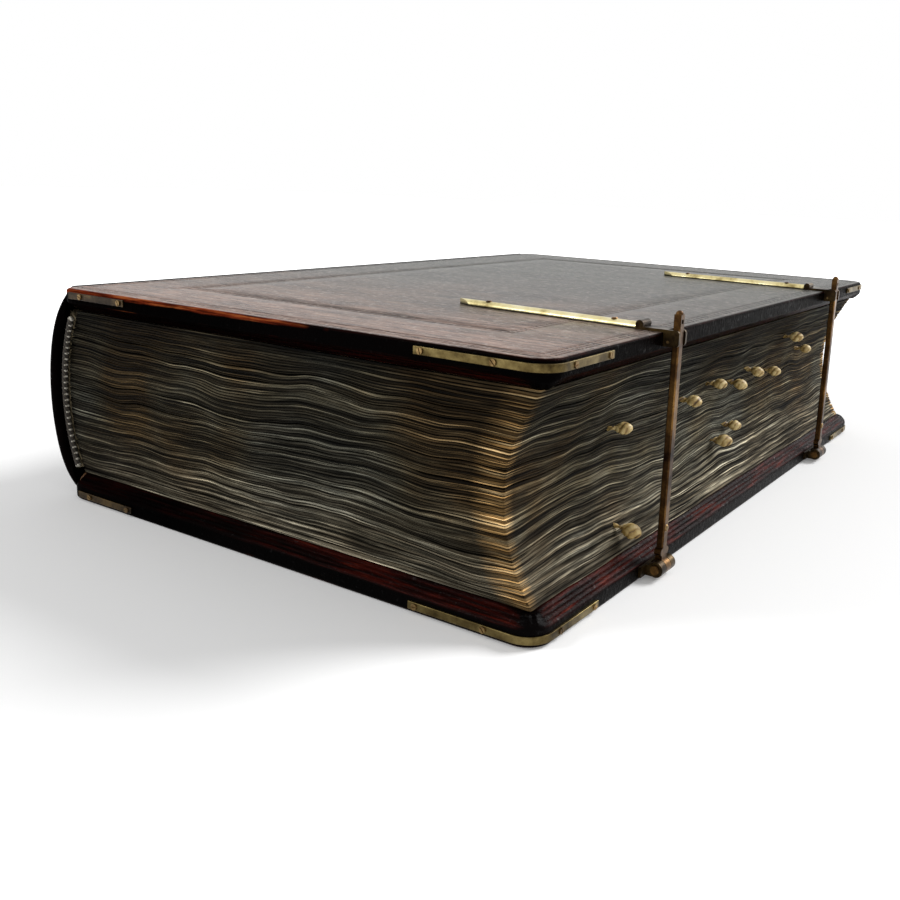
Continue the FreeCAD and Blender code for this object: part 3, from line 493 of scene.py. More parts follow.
def leafTree(sizes, material):
    tree, given = newTree("leafEdges", sizes)
    rail = addNode(tree, "GeometryNodeMeshToCurve", {"Mesh": given["Geometry"]})
    rail = addNode(tree, "GeometryNodeStoreNamedAttribute",
                   {"Geometry": rail, "Name": "railPlace",
                    "Value": addNode(tree, "GeometryNodeInputPosition")},
                   data_type="FLOAT_VECTOR")
    rows = addNode(tree, "ShaderNodeMath", {0: given["leafSteps"], 1: 3.0, 2: 1.0},
                   operation="MULTIPLY_ADD")
    side = addNode(tree, "GeometryNodeCurvePrimitiveLine", {"End": (0.0, 0.0, 0.01)})
    side = addNode(tree, "GeometryNodeResampleCurve", {"Curve": side, "Count": rows})
    factor = addNode(tree, "GeometryNodeSplineParameter").outputs["Factor"]
    side = addNode(tree, "GeometryNodeStoreNamedAttribute",
                   {"Geometry": side, "Name": "rowLevel", "Value": factor},
                   data_type="FLOAT")
    wall = addNode(tree, "GeometryNodeCurveToMesh", {"Curve": rail, "Profile Curve": side})

    along = addNode(tree, "GeometryNodeInputNamedAttribute", {"Name": "along"}, data_type="FLOAT")
    row = addNode(tree, "GeometryNodeInputNamedAttribute", {"Name": "rowLevel"}, data_type="FLOAT")
    place = addNode(tree, "GeometryNodeInputNamedAttribute", {"Name": "railPlace"},
                    data_type="FLOAT_VECTOR")
    outward = addNode(tree, "GeometryNodeInputNamedAttribute", {"Name": "outward"},
                      data_type="FLOAT_VECTOR")

    # which leaf step a point is on, and whether it is on the step's lip or in the groove under it: a step
    # has three rows of points, at 0.02, 0.353 and 0.687 of its height, and the upper two carry the lip
    steps = addNode(tree, "ShaderNodeMath", {0: row, 1: given["leafSteps"], 2: 0.02},
                    operation="MULTIPLY_ADD")
    layer = addNode(tree, "ShaderNodeMath", {0: steps}, operation="FLOOR")
    part = addNode(tree, "ShaderNodeMath", {0: steps, 1: layer}, operation="SUBTRACT")
    lip = addNode(tree, "ShaderNodeMath", {0: part, 1: 0.18}, operation="GREATER_THAN")
    # one step in six has sagged and left a wide gap under it, which the painted groove shade darkens
    chance = addNode(tree, "ShaderNodeTexWhiteNoise", {"W": layer}, noise_dimensions="1D")
    sagged = addNode(tree, "ShaderNodeMath", {0: chance, 1: 0.84}, operation="GREATER_THAN")
    lipFoot = addNode(tree, "ShaderNodeMath", {0: sagged, 1: 0.36, 2: 0.16}, operation="MULTIPLY_ADD")
    share = addNode(tree, "ShaderNodeMapRange", {"Value": part, "From Min": 0.353, "From Max": 0.687,
                                                 "To Min": lipFoot, "To Max": 0.88})
    share = addNode(tree, "ShaderNodeMath", {0: share, 1: lip}, operation="MULTIPLY")
    level = addNode(tree, "ShaderNodeMath", {0: layer, 1: share}, operation="ADD")
    level = addNode(tree, "ShaderNodeMath", {0: level, 1: given["leafSteps"]}, operation="DIVIDE")
    span = addNode(tree, "ShaderNodeMapRange", {"Value": level, "To Min": -1.0, "To Max": 1.0})
    bow = addNode(tree, "ShaderNodeMath", {0: span, 1: span}, operation="MULTIPLY")
    bow = addNode(tree, "ShaderNodeMath", {0: 1.0, 1: bow}, operation="SUBTRACT")
    fade = addNode(tree, "ShaderNodeMapRange", {"Value": bow, "From Max": 0.55})

    # cockles: slow waves that neighbouring leaves share, and a small ripple of each leaf's own
    cockle = unevenness(tree, given, along, given["cockleLength"], level, 1.3, 1.5, 0.5)
    cockle = addNode(tree, "ShaderNodeMath", {0: cockle, 1: given["cockleHeight"]}, operation="MULTIPLY")
    ripple = unevenness(tree, given, along, given["rippleLength"], layer, 0.16, 1.0, 0.5)
    ripple = addNode(tree, "ShaderNodeMath", {0: ripple, 1: given["rippleHeight"], 2: cockle},
                     operation="MULTIPLY_ADD")
    flat = addNode(tree, "ShaderNodeMapRange",
                   {"Value": level, "To Min": given["bottom"], "To Max": given["top"]})
    height = addNode(tree, "ShaderNodeMath", {0: ripple, 1: fade, 2: flat}, operation="MULTIPLY_ADD")

    # how far each step stands out: its own stagger on the lip, a groove of uneven depth under it
    stagger = unevenness(tree, given, along, 0.03, layer, 3.7, 2.0, 0.62)
    stagger = addNode(tree, "ShaderNodeMath", {0: stagger, 1: given["stagger"]}, operation="MULTIPLY")
    deep = addNode(tree, "ShaderNodeMath", {0: chance, 1: 2.5}, operation="POWER")
    deep = addNode(tree, "ShaderNodeMath", {0: deep, 1: 1.6, 2: 0.35}, operation="MULTIPLY_ADD")
    groove = addNode(tree, "ShaderNodeMath", {0: deep, 1: given["grooveDepth"]}, operation="MULTIPLY")
    inGroove = addNode(tree, "ShaderNodeMath", {0: 1.0, 1: lip}, operation="SUBTRACT")
    groove = addNode(tree, "ShaderNodeMath", {0: groove, 1: inGroove}, operation="MULTIPLY")
    shift = addNode(tree, "ShaderNodeMath", {0: stagger, 1: groove}, operation="SUBTRACT")

    railXyz = addNode(tree, "ShaderNodeSeparateXYZ", {"Vector": place})
    across = addNode(tree, "ShaderNodeMath", {0: railXyz.outputs["X"], 1: given["railWidth"]},
                     operation="DIVIDE")
    backX = addNode(tree, "ShaderNodeMath", {0: bow, 1: given["backBulge"]}, operation="MULTIPLY")
    backX = addNode(tree, "ShaderNodeMath", {0: given["backEdge"], 1: backX}, operation="SUBTRACT")
    foreX = addNode(tree, "ShaderNodeMath", {0: bow, 1: given["foreHollow"]}, operation="MULTIPLY")
    foreX = addNode(tree, "ShaderNodeMath", {0: given["foreEdge"], 1: foreX}, operation="SUBTRACT")
    x = addNode(tree, "ShaderNodeMapRange", {"Value": across, "To Min": backX, "To Max": foreX},
                clamp=False)
    spot = addNode(tree, "ShaderNodeCombineXYZ", {"X": x, "Y": railXyz.outputs["Y"], "Z": height})
    pushed = addNode(tree, "ShaderNodeVectorMath", {0: outward, "Scale": shift}, operation="SCALE")
    spot = addNode(tree, "ShaderNodeVectorMath", {0: spot, 1: pushed}, operation="ADD")

    wall = addNode(tree, "GeometryNodeStoreNamedAttribute",
                   {"Geometry": wall, "Name": "leafLevel", "Value": level},
                   data_type="FLOAT")
    wall = addNode(tree, "GeometryNodeStoreNamedAttribute", {"Geometry": wall, "Name": "lip", "Value": lip},
                   data_type="FLOAT")
    wall = addNode(tree, "GeometryNodeSetPosition", {"Geometry": wall, "Position": spot})
    endTree(tree, wall, material)
    return tree


block = growMesh(leafRail(), leafTree(leafSizes, edgePaper), leafSizes)
for name in ("railPlace", "outward", "rowLevel"):
    block.attributes.remove(block.attributes[name])
closeMesh(block)
block.materials.append(pagePaper)
for polygon in block.polygons:
    if len(polygon.vertices) > 4:
        polygon.material_index = 1
leafBlock = newPiece("leafBlock", block, edgePaper)
fitPiece(leafBlock, "leaves", "leaf_paper", "text_block")
print("leaves:", len(block.polygons), "faces")


# cover leather: rings from the middle of the outer face, over the edge and bevel, to the turned-in border

coverLook = {
    "filletInsets": (0.0040, 0.0062, 0.0084), "panelInsets": (0.0400, 0.0424), "filletWidth": 0.0009,
    "filletDepth": 0.00025, "arris": 0.0014, "shoulder": 0.0040, "edgeDepth": 0.0065, "bevelWidth": 0.0065,
    "coverThickness": 0.0110, "bevelLines": (0.0020, 0.0036, 0.0051), "lineDepth": 0.00018,
    "cornerFold": 0.0022, "foldReach": 0.0052, "foldInset": 0.0052, "foldDepth": 0.0088,
    "creaseDepth": 0.35, "creaseWidth": 0.0008,
    "handled": 1.15, "shelved": 0.45, "tailFrom": -0.19, "rubFade": 0.06,
}


def coverRings(look):
    # inset from the edges, inset from the spine side, depth below the outer face, tone, rub
    face = [(inset, 0.0, 1.0, 0.0) for inset in (0.125, 0.105, 0.085, 0.07, 0.056, 0.03, 0.018, 0.012)]
    for inset in look["filletInsets"] + look["panelInsets"]:
        for step, sunk in ((0.5, 0.0), (0.2, 1.0), (-0.2, 1.0), (-0.5, 0.0)):
            face.append((inset + step * look["filletWidth"], look["filletDepth"] * sunk, 1.0 - 0.25 * sunk,
                         0.0))
    face.append((0.0025, 0.0, 1.0, 0.35))
    rings = []
    arris, shoulder = look["arris"], look["shoulder"]
    for inset, depth, tone, rub in sorted(face, reverse=True):
        spineInset = max(inset, shoulder + 0.6 * (inset - arris))
        rings.append((inset, spineInset, depth, tone, rub))
    for degrees, tone, rub in ((0, 0.95, 0.5), (20, 0.8, 0.9), (40, 0.45, 1.0), (65, 0.15, 1.0),
                               (90, 0.0, 1.0)):
        out, down = 1.0 - math.sin(math.radians(degrees)), 1.0 - math.cos(math.radians(degrees))
        rings.append((arris * out, shoulder * out, arris * down, tone, rub))
    for inset, depth, tone, rub in ((0, 0.0020, 0, 0.6), (0, 0.0030, 0, 0.1), (0, 0.0057, 0.02, 0.1),
                                    (0.00014, 0.0064, 0.15, 0.45), (0.00055, 0.0069, 0.4, 0.3)):
        rings.append((inset, 0.0, depth, tone, rub))
    slope = (look["coverThickness"] - look["edgeDepth"]) / look["bevelWidth"]
    bevel = [(0.0011, 0.0), (0.0063, 0.0)]
    for inset in look["bevelLines"]:
        bevel += [(inset - 0.0003, 0.0), (inset, look["lineDepth"]), (inset + 0.0003, 0.0)]
    for inset, sunk in sorted(bevel):
        rings.append((inset, 0.0, look["edgeDepth"] + inset * slope - sunk, 0.5, 0.0))
    for inset in (0.0066, 0.0075, 0.014, 0.0225):
        rings.append((inset, inset - 0.0065, look["coverThickness"], 0.42, 0.0))
    rings.append((0.0226, 0.0161, look["coverThickness"] - 0.0008, 0.42, 0.0))
    return rings


def roundedIn(x, y, spineInset, inset):
    # draws a point in the square corner at the spine on to the corner's round
    r = max(book["spineCorner"] - min(inset, spineInset), 0.0005)
    cx, cy = book["boardStart"] + spineInset + r, book["halfLength"] - inset - r
    dx, dy = cx - x, abs(y) - cy
    if dx <= 0.0 or dy <= 0.0:
        return x, y
    scale = max(dx, dy) / math.hypot(dx, dy)
    return cx - dx * scale, math.copysign(cy + dy * scale, y)


def ringLine(inset, spineInset):
    # one closed line round a cover: near edge, fore-edge, far edge, spine side
    x0, x1 = book["boardStart"] + spineInset, book["halfWidth"] - inset
    y1, r = book["halfLength"] - inset, max(book["cornerRadius"] - inset, 0.0005)
    points = [(x0 + (x1 - r - x0) * (i / 40.0) ** 1.4, -y1) for i in range(40)]
    points += [(x1 - r + r * math.cos(t), -y1 + r + r * math.sin(t))
               for t in [math.radians(-90.0 + 6.0 * i) for i in range(15)]]
    points += [(x1, -y1 + r + 2.0 * (y1 - r) * i / 60.0) for i in range(60)]
    points += [(x1 - r + r * math.cos(t), y1 - r + r * math.sin(t))
               for t in [math.radians(6.0 * i) for i in range(15)]]
    points += [(x0 + (x1 - r - x0) * (1.0 - i / 40.0) ** 1.4, y1) for i in range(40)]
    points += [(x0, y1 * math.cos(math.pi * i / 60.0)) for i in range(60)]
    return [roundedIn(x, y, spineInset, inset) for x, y in points]


def coverSkin(name, body, upper, look, material):
    verts, tones, rubs = [], [], []
    rings = coverRings(look)
    full, shoulder = look["coverThickness"], look["shoulder"]
    for inset, spineInset, ringDepth, tone, rub in rings:
        for x, y in ringLine(inset, spineInset):
            fromSpine = x - book["boardStart"]
            drop = shoulder - math.sqrt(shoulder ** 2 - (shoulder - min(fromSpine, shoulder)) ** 2)
            weight = drop / shoulder
            lowered = drop + max(0.0, ringDepth - look["arris"]) * (full - drop) / (full - look["arris"])
            depth = (1.0 - weight) * ringDepth + weight * max(lowered, ringDepth)
            # leather folded into a lump on the bevel at each fore-edge corner
            fold = Vector((book["halfWidth"] - look["foldInset"],
                           math.copysign(book["halfLength"] - look["foldInset"], y), look["foldDepth"]))
            away = (Vector((x, y, depth)) - fold).length
            swell = math.exp(-(away / look["foldReach"]) ** 2) if depth > look["edgeDepth"] - 0.001 else 0.0
            offDiagonal = abs(x) - book["halfWidth"] - abs(y) + book["halfLength"]
            crease = 1.0 - look["creaseDepth"] * math.exp(-(offDiagonal / look["creaseWidth"]) ** 2)
            push = look["cornerFold"] * swell * crease
            x, y = x + 0.4 * push, y + math.copysign(0.4 * push, y)
            depth = min(depth + 0.82 * push, full)
            verts.append((x, y, book["thickness"] - depth if upper else depth))
            tones.append(tone * (1.0 - min(1.0, 1.6 * swell)) if ringDepth > 0.005 else tone)
            handled = look["handled"] if y < look["tailFrom"] and upper else look["shelved"]
            rubs.append(rub * (handled if x < 0.0 else handled * max(0.2, 1.0 - x / look["rubFade"])))
    columns = len(verts) // len(rings)
    faces = rowFaces(len(rings), columns, True) + [tuple(range(columns))]
    mesh = bpy.data.meshes.new(name)
    mesh.from_pydata(verts, [], faces)
    storeFloats(mesh, "tone", tones)
    storeFloats(mesh, "rub", rubs)
    closeMesh(mesh, fill=False)
    outside = 1.0 if upper else -1.0
    if mesh.polygons[-1].normal.z * outside < 0.0:
        mesh.flip_normals()
    piece = newPiece(name, mesh, material, 60.0)
    fitPiece(piece, body, "cover_leather", body + "_leather")
    return piece


upperSkin = coverSkin("upperCoverSkin", "upper_cover", True, coverLook, calf)
coverSkin("lowerCoverSkin", "lower_cover", False, coverLook, calf)
print("covers:", len(upperSkin.data.polygons), "faces each")


# spine leather: raised over five cords, turned in over a headcap at each end

spineLook = {
    "end": 0.2013, "capInner": 0.08954, "capThickness": 0.0026, "lining": 0.093586, "bandHeight": 0.0017,
    "bandWidth": 0.0046, "bands": (-0.131, -0.0655, 0.0, 0.0655, 0.131), "angleSteps": 44, "edgeX": -0.130,
    "straight": 0.198, "bandShape": 2.6, "endDraw": 0.024,
}


def spineProfile(look):
    # radius, place along the spine and band swell, from one headcap's inside to the other's and back inside
    r, end, cap = book["spineRadius"], look["end"], look["capInner"]
    half = [(look["lining"], end - look["capThickness"], 0.0), (cap, end - look["capThickness"], 0.0),
            (cap, end - 0.0007, 0.0), (cap + 0.0007, end, 0.0), (cap + 0.004, end, 0.0),
            (r - 0.0022, end, 0.0), (r - 0.0010, end - 0.0003, 0.0), (r - 0.0003, end - 0.0010, 0.0),
            (r, end - 0.0022, 0.0)]
    rowSteps = 180
    middle = []
    for i in range(rowSteps + 1):
        y = -look["straight"] + 2.0 * look["straight"] * i / rowSteps
        swell = sum(math.exp(-abs((y - band) / look["bandWidth"]) ** look["bandShape"])
                    for band in look["bands"])
        middle.append((r, y, swell))
    return [(radius, -y, swell) for radius, y, swell in half] + middle + half[::-1]


def spineSkin(look, material):
    profile = spineProfile(look)
    reach = math.acos((-look["edgeX"] + book["spineX"]) / book["spineRadius"])
    verts, tones, rubs = [], [], []
    for i in range(look["angleSteps"] + 1):
        share = 2.0 * i / look["angleSteps"] - 1.0
        for radius, y, swell in profile:
            # towards the joints the raised bands run out and both ends are drawn in
            lift = look["bandHeight"] * swell * (1.0 - abs(share) ** 5)
            angle = share * reach
            x = min(book["spineX"] - (radius + lift) * math.cos(angle), look["edgeX"])
            y *= 1.0 - look["endDraw"] * abs(share) ** 6
            verts.append((x, y, book["middle"] + (radius + lift) * math.sin(angle)))
            tones.append(0.1 + 0.12 * swell)
            rubs.append(0.35 * swell)
    mesh = bpy.data.meshes.new("spineSkin")
    mesh.from_pydata(verts, [], rowFaces(look["angleSteps"] + 1, len(profile), True))
    storeFloats(mesh, "tone", tones)
    storeFloats(mesh, "rub", rubs)
    closeMesh(mesh)
    fitPiece(newPiece("spineSkin", mesh, material, 50.0), "leaves", "spine_leather", "spine_leather")


spineSkin(spineLook, calf)
print("spine leather made")


# endbands: thread wound over a core, with a bead at each turn, along both ends of the back

bandSizes = {"radius": 0.0876, "halfHeight": 0.0350, "place": 0.1984, "beadPitch": 0.0028,
             "beadSize": 0.00112,
             "coreSize": 0.0013}


def bandTree(sizes, bead, core):
    tree, given = newTree("endbandBeads", sizes)
    rail = addNode(tree, "GeometryNodeMeshToCurve", {"Mesh": given["Geometry"]})
    spots = addNode(tree, "GeometryNodeCurveToPoints", {"Curve": rail, "Length": given["beadPitch"]},
                    mode="LENGTH")
    ball = addNode(tree, "GeometryNodeMeshUVSphere",
                   {"Segments": 10, "Rings": 7, "Radius": given["beadSize"]})
    shape = addNode(tree, "ShaderNodeCombineXYZ", {"X": 1.15, "Y": 1.35, "Z": 0.95})
    beads = addNode(tree, "GeometryNodeInstanceOnPoints",
                    {"Points": spots, "Instance": ball, "Rotation": spots.outputs["Rotation"],
                     "Scale": shape})
    beads = addNode(tree, "GeometryNodeSetMaterial", {"Geometry": beads, "Material": bead})
    circle = addNode(tree, "GeometryNodeCurvePrimitiveCircle",
                     {"Resolution": 12, "Radius": given["coreSize"]})
    roll = addNode(tree, "GeometryNodeCurveToMesh",
                   {"Curve": rail, "Profile Curve": circle, "Fill Caps": True})
    roll = addNode(tree, "GeometryNodeSetMaterial", {"Geometry": roll, "Material": core})
    both = addNode(tree, "GeometryNodeJoinGeometry", {"Geometry": beads})
    tree.links.new(roll.outputs[0], both.inputs[0])
    real = addNode(tree, "GeometryNodeRealizeInstances", {"Geometry": both})
    addNode(tree, "NodeGroupOutput", {"Geometry": real})
    return tree


beadTree = bandTree(bandSizes, linenThread, darkThread)
for side, node in ((-1.0, "near_endband"), (1.0, "far_endband")):
    reach = math.asin(bandSizes["halfHeight"] / bandSizes["radius"])
    angles = [reach * (i / 20.0 - 1.0) for i in range(41)]
    arc = [(book["spineX"] - bandSizes["radius"] * math.cos(a), side * bandSizes["place"],
            book["middle"] + bandSizes["radius"] * math.sin(a)) for a in angles]
    mesh = growMesh(lineMesh(arc), beadTree, bandSizes)
    band = newPiece(node.replace("_e", "E"), mesh, linenThread, 60.0)
    fitPiece(band, "leaves", "endband_thread", node)
print("endbands wound")


# leaf markers: strips of parchment twisted at the leaf and knotted, on the fore-edge

markerLook = {
    "places": ((0.0810, 0.0595), (0.0790, 0.0210), (0.1520, 0.0600), (0.1840, 0.0625), (0.2145, 0.0595),
               (0.2380, 0.0630), (0.2700, 0.0575), (0.2880, 0.0750), (0.3240, 0.0635), (0.2100, 0.0375),
               (0.1910, 0.0330)),
    "tail": 0.0036, "tailWidth": 0.0015, "tailFlat": 0.38, "twist": 700.0, "pod": 0.0070,
    "podRadius": 0.0033, "podFlat": 0.86, "podTurns": 5.2, "root": 0.0012, "sections": 30, "around": 18,
    "seed": 8,
}


def leafMarkers(look, material):
    chance = random.Random(look["seed"])
    verts, faces, shadedFolds = [], [], []
    sections, around = look["sections"], look["around"]
    for distance, z in look["places"]:
        q = 2.0 * (z - book["blockBottom"]) / (book["blockTop"] - book["blockBottom"]) - 1.0
        root = Vector((book["foreEdge"] - book["foreHollow"] * (1.0 - q * q) - look["root"],
                       distance - book["halfLength"], z))
        heading = Vector((1.0, chance.uniform(0.1, 0.6), chance.uniform(-0.25, 0.15))).normalized()
        sideways = heading.cross(Vector((0, 0, 1))).normalized()
        upward = sideways.cross(heading)
        size, phase = chance.uniform(0.88, 1.12), chance.uniform(0.0, 6.28)
        length = look["root"] + look["tail"] + look["pod"] * size
        start = len(verts)
        for i in range(sections):
            s = i / (sections - 1.0) * length
            twist = phase + s * look["twist"]
            body = (s - look["root"] - look["tail"] * 0.8) / (look["pod"] * size + look["tail"] * 0.2)
            pod = math.sin(math.pi * min(max(body, 0.0), 1.0)) ** 0.55 if body > 0.0 else 0.0
            wide = 0.0
            if body < 1.0:
                narrowed = 0.55 + 0.45 * min(1.0, s / look["tail"])
                wide = look["tailWidth"] * narrowed * (1.0 - max(body, 0.0)) ** 0.5
            for k in range(around):
                turn = 2.0 * math.pi * k / around
                flatU, flatV = wide * math.cos(turn), wide * look["tailFlat"] * math.sin(turn)
                u = flatU * math.cos(twist) - flatV * math.sin(twist)
                v = flatU * math.sin(twist) + flatV * math.cos(twist)
                wind = (turn - phase - look["podTurns"] * body + math.pi) % (2.0 * math.pi) - math.pi
                crease = math.exp(-(wind / 0.33) ** 2)
                second = math.exp(-((abs(wind) - 2.1) / 0.25) ** 2)
                r = look["podRadius"] * size * pod * (1.0 - 0.2 * crease - 0.1 * second)
                # the twisted strip or the knotted pod, whichever stands out more
                signU, signV = (u, v) if pod < 0.3 else (math.cos(turn), math.sin(turn))
                u = math.copysign(max(abs(u), r * abs(math.cos(turn))), signU)
                v = math.copysign(max(abs(v), look["podFlat"] * r * abs(math.sin(turn))), signV)
                verts.append(root + heading * s + sideways * u + upward * v)
                # fold marks for painted shade in the knot's creases and along the twisted tail
                shadedFolds.append(min(0.45, 0.4 * crease + 0.25 * second + (0.18 if pod < 0.2 else 0.0)))
        faces += [tuple(start + i for i in face) for face in rowFaces(sections, around, True)]
        faces.append(tuple(start + k for k in range(around)))
        faces.append(tuple(start + (sections - 1) * around + k for k in range(around)))
    mesh = bpy.data.meshes.new("leafMarkers")
    mesh.from_pydata([tuple(v) for v in verts], [], faces)
    storeFloats(mesh, "fold", shadedFolds)
    closeMesh(mesh)
    fitPiece(newPiece("leafMarkers", mesh, material, 60.0), "leaves", "marker_parchment", "leaf_markers")


leafMarkers(markerLook, vellum)
print("markers knotted")


# strip nails: slotted round heads set along the edge strips by Geometry Nodes

nailSizes = {
    "headRadius": 0.00125, "headHeight": 0.0011, "slotWidth": 0.00042, "slotDepth": 0.00035,
    "cutterLength": 0.004, "cutterHeight": 0.001,
}
nailPlaces = {
    "fromFore": (0.0210, 0.0510), "fromEnd": (0.0155, 0.0405), "fromSpine": (0.0170, 0.0444),
    "height": 0.0031, "out": 0.0008, "seed": 3,
}


def nailMesh(places, upper):
    # one point for each nail, with the way it faces and the turn of its slot
    chance = random.Random(places["seed"] + int(upper))
    z = book["thickness"] - places["height"] if upper else places["height"]
    spots, facings = [], []
    for side in (-1.0, 1.0):
        y = side * (book["halfLength"] + places["out"])
        alongX = [book["halfWidth"] - distance for distance in places["fromFore"]]
        alongX += [distance - book["halfWidth"] for distance in places["fromSpine"]]
        for x in alongX:
            spots.append((x, y, z))
            facings.append((0.0, side, 0.0))
        for distance in places["fromEnd"]:
            spots.append((book["halfWidth"] + places["out"], side * (book["halfLength"] - distance), z))
            facings.append((1.0, 0.0, 0.0))
    mesh = bpy.data.meshes.new("nailSpots")
    mesh.from_pydata(spots, [], [])
    facing = mesh.attributes.new("facing", "FLOAT_VECTOR", "POINT")
    facing.data.foreach_set("vector", [value for way in facings for value in way])
    storeFloats(mesh, "slotTurn", [chance.uniform(0.0, math.pi) for _ in spots])
    return mesh


def nailTree(sizes, material):
    tree, given = newTree("nailHeads", sizes)
    head = addNode(tree, "GeometryNodeMeshCylinder", {"Vertices": 20, "Radius": given["headRadius"],
                                                      "Depth": given["headHeight"]})
    cutterSize = addNode(tree, "ShaderNodeCombineXYZ", {"X": given["slotWidth"], "Y": given["cutterLength"],
                                                           "Z": given["cutterHeight"]})
    cutter = addNode(tree, "GeometryNodeMeshCube", {"Size": cutterSize})
    cutterRise = addNode(tree, "ShaderNodeMath",
                         {0: given["headHeight"], 1: 0.5, 2: sizes["cutterHeight"] / 2.0},
                         operation="MULTIPLY_ADD")
    cutterRise = addNode(tree, "ShaderNodeMath", {0: cutterRise, 1: given["slotDepth"]},
                         operation="SUBTRACT")
    lifted = addNode(tree, "ShaderNodeCombineXYZ", {"Z": cutterRise})
    cutter = addNode(tree, "GeometryNodeTransform", {"Geometry": cutter, "Translation": lifted})
    slotted = addNode(tree, "GeometryNodeMeshBoolean", {"Mesh 1": head}, operation="DIFFERENCE")
    tree.links.new(cutter.outputs[0], slotted.inputs["Mesh 2"])
    facing = addNode(tree, "GeometryNodeInputNamedAttribute", {"Name": "facing"}, data_type="FLOAT_VECTOR")
    slotTurn = addNode(tree, "GeometryNodeInputNamedAttribute", {"Name": "slotTurn"}, data_type="FLOAT")
    aimed = addNode(tree, "FunctionNodeAlignRotationToVector", {"Vector": facing}, axis="Z")
    spots = addNode(tree, "GeometryNodeMeshToPoints", {"Mesh": given["Geometry"]})
    heads = addNode(tree, "GeometryNodeInstanceOnPoints",
                    {"Points": spots, "Instance": slotted, "Rotation": aimed})
    turnAbout = addNode(tree, "ShaderNodeCombineXYZ", {"Z": slotTurn})
    heads = addNode(tree, "GeometryNodeRotateInstances", {"Instances": heads, "Rotation": turnAbout})
    endTree(tree, heads, material)
    return tree


headTree = nailTree(nailSizes, nailBrass)
for body, upper in (("lower_cover", False), ("upper_cover", True)):
    mesh = growMesh(nailMesh(nailPlaces, upper), headTree, nailSizes)
    heads = newPiece(body.replace("_c", "C") + "NailHeads", mesh, nailBrass, 30.0)
    fitPiece(heads, body, "nail_brass", body + "_strip_nails")
print("nails set")


# frame nodes that keep their own shape get their finishes

finishes = {
    "_board": oak, "_pastedown": pastePaper, "_strip": stripBrass, "_spine_strip": darkAndShadedBrass,
    "sewing_cords": hempCord, "spine_lining": liningCloth,
    "clasp_hinge": darkAndShadedBrass, "clasp_hinge_pin": claspBrassDarkReflection, "clasp_arm": claspBrassDarkReflection,
    "clasp_rivet": nailBrass, "clasp_catch": darkAndShadedBrass, "clasp_catch_pin": nailBrass,
    "clasp_strap": strapBrass, "clasp_strap_pins": claspBrassDarkReflection,
}
for name, node in nodes.items():
    fitting = [ending for ending in finishes if name.endswith(ending)]
    if fitting:
        node.data.materials.clear()
        node.data.materials.append(finishes[max(fitting, key=len)])
print("frame nodes finished")


# floor, light and camera

stageLook = {
    "floorShade": "#f2f2f2", "floorFleck": "#f4f4f4", "floorReach": 6.0, "floorLift": 0.14, "farLift": 0.8,
    "nearFloor": 0.38, "farFloor": 0.95, "worldLight": 0.5,
    "keyFrom": (0.45, 0.75, 0.62), "keyAngle": 24.0, "keyStrength": 2.9,
    "glintPlace": (-0.58, -0.86, 0.75), "glintSize": 0.22, "glintPower": 3.0,
    "eye": (0.28017, -0.46490, 0.15421), "target": (0.01105, -0.05546, 0.05), "roll": 0.03864,
    "lens": 39.1, "shift": (-0.0444, -0.0667),
}


def areaLight(name, place, size, power):
    data = bpy.data.lights.new(name, "AREA")
    data.shape, data.size, data.energy = "SQUARE", size, power
    lamp = bpy.data.objects.new(name, data)
    lamp.location = place
    lamp.rotation_euler = (Vector((0.0, 0.0, 0.05)) - Vector(place)).to_track_quat("-Z", "Y").to_euler()
    bpy.context.collection.objects.link(lamp)


def keyLight(look):
    # a far, broad light behind the book on its right, so that the shadow falls towards the viewer
    data = bpy.data.lights.new("keyLight", "SUN")
    data.energy, data.angle = look["keyStrength"], math.radians(look["keyAngle"])
    lamp = bpy.data.objects.new("keyLight", data)
    lamp.rotation_euler = (-Vector(look["keyFrom"])).to_track_quat("-Z", "Y").to_euler()
    bpy.context.collection.objects.link(lamp)


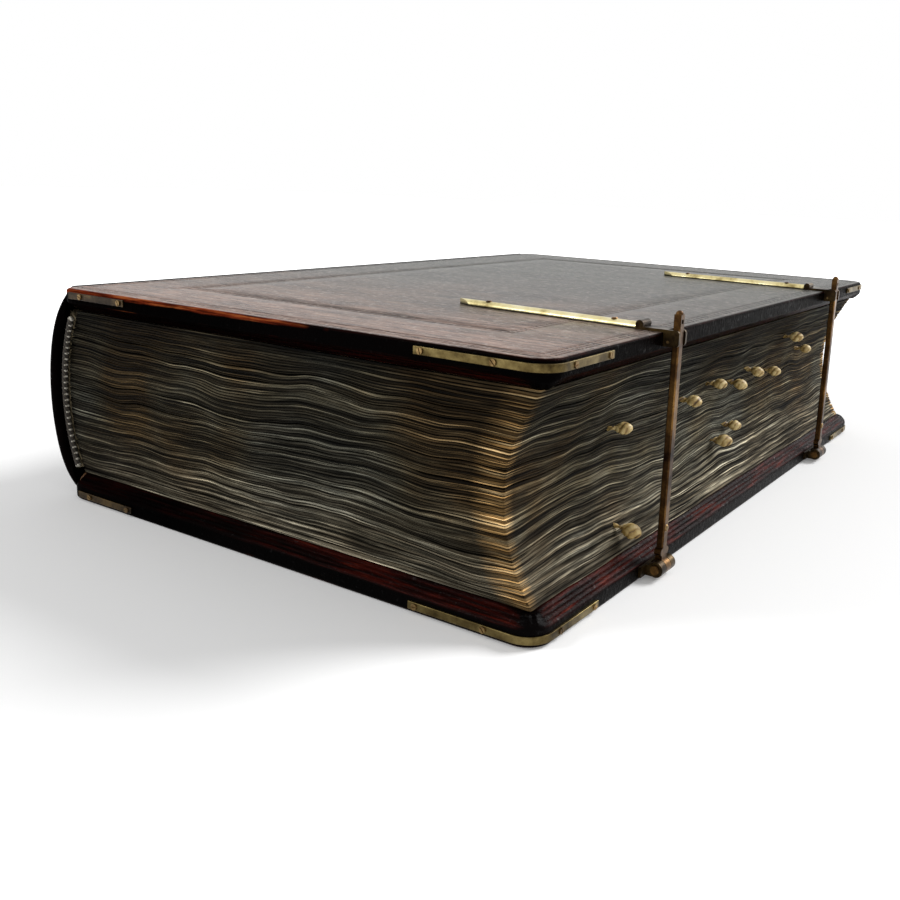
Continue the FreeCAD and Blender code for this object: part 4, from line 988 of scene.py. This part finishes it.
def paleFloor(look):
    # plain matt white sweep that runs to white for the camera and keeps the book's shadow
    material, tree, shader, spot = newMaterial("paleFloor")
    rays = addNode(tree, "ShaderNodeLightPath")
    direct = addNode(tree, "ShaderNodeMath",
                     {0: rays.outputs["Is Camera Ray"], 1: rays.outputs["Is Glossy Ray"]},
                     operation="MAXIMUM")
    # the sweep runs to white away from the book
    away = addNode(tree, "ShaderNodeVectorMath", {0: spot},
                   operation="LENGTH")
    away = addNode(tree, "ShaderNodeMapRange", {"Value": away.outputs["Value"],
                                                "From Min": look["nearFloor"], "From Max": look["farFloor"],
                                                "To Min": look["floorLift"], "To Max": look["farLift"]})
    lift = addNode(tree, "ShaderNodeMath", {0: direct, 1: away}, operation="MULTIPLY")
    speck = addNode(tree, "ShaderNodeTexNoise", {"Scale": 3.0})
    shade = addNode(tree, "ShaderNodeValToRGB", {"Fac": speck},
                    stops=((0.3, look["floorShade"]), (0.7, look["floorFleck"])))
    fillSockets(tree, shader, {"Base Color": shade, "Roughness": 0.9, "Specular IOR Level": 0.1,
                               "Emission Color": (1.0, 1.0, 1.0, 1.0), "Emission Strength": lift})
    mesh = bpy.data.meshes.new("floor")
    reach = look["floorReach"]
    mesh.from_pydata([(-reach, -reach, 0.0), (reach, -reach, 0.0), (reach, reach, 0.0),
                      (-reach, reach, 0.0)],
                     [], [(0, 1, 2, 3)])
    newPiece("floor", mesh, material)


def softWorld(look):
    world = bpy.data.worlds.new("softWorld")
    world.use_nodes = True
    bpy.context.scene.world = world
    tree = world.node_tree
    rays = addNode(tree, "ShaderNodeLightPath")
    seen = addNode(tree, "ShaderNodeMath",
                   {0: rays.outputs["Is Camera Ray"], 1: rays.outputs["Is Glossy Ray"]},
                   operation="MAXIMUM")
    seen = addNode(tree, "ShaderNodeMath", {0: seen, 1: rays.outputs["Is Transmission Ray"]},
                   operation="MAXIMUM")
    strength = addNode(tree, "ShaderNodeMapRange",
                       {"Value": seen, "To Min": look["worldLight"], "To Max": 1.0})
    fillSockets(tree, tree.nodes["Background"], {"Color": (1.0, 1.0, 1.0, 1.0), "Strength": strength})


def photoCamera(look):
    # the photograph's own view: low, from beyond the near fore-edge corner
    data = bpy.data.cameras.new("camera")
    data.lens, data.sensor_width = look["lens"], 36.0
    data.shift_x, data.shift_y = look["shift"]
    data.clip_start, data.clip_end = 0.01, 50.0
    camera = bpy.data.objects.new("camera", data)
    eye = Vector(look["eye"])
    back = (eye - Vector(look["target"])).normalized()
    right = Vector((0.0, 0.0, 1.0)).cross(back).normalized()
    up = back.cross(right)
    c, s = math.cos(look["roll"]), math.sin(look["roll"])
    axes = (c * right + s * up, c * up - s * right, back)
    camera.matrix_world = Matrix.Translation(eye) @ Matrix(axes).transposed().to_4x4()
    bpy.context.collection.objects.link(camera)
    bpy.context.scene.camera = camera


paleFloor(stageLook)
softWorld(stageLook)
keyLight(stageLook)
areaLight("glintLight", stageLook["glintPlace"], stageLook["glintSize"], stageLook["glintPower"])
photoCamera(stageLook)
bpy.context.scene.view_settings.view_transform = "Standard"
print("stage set")
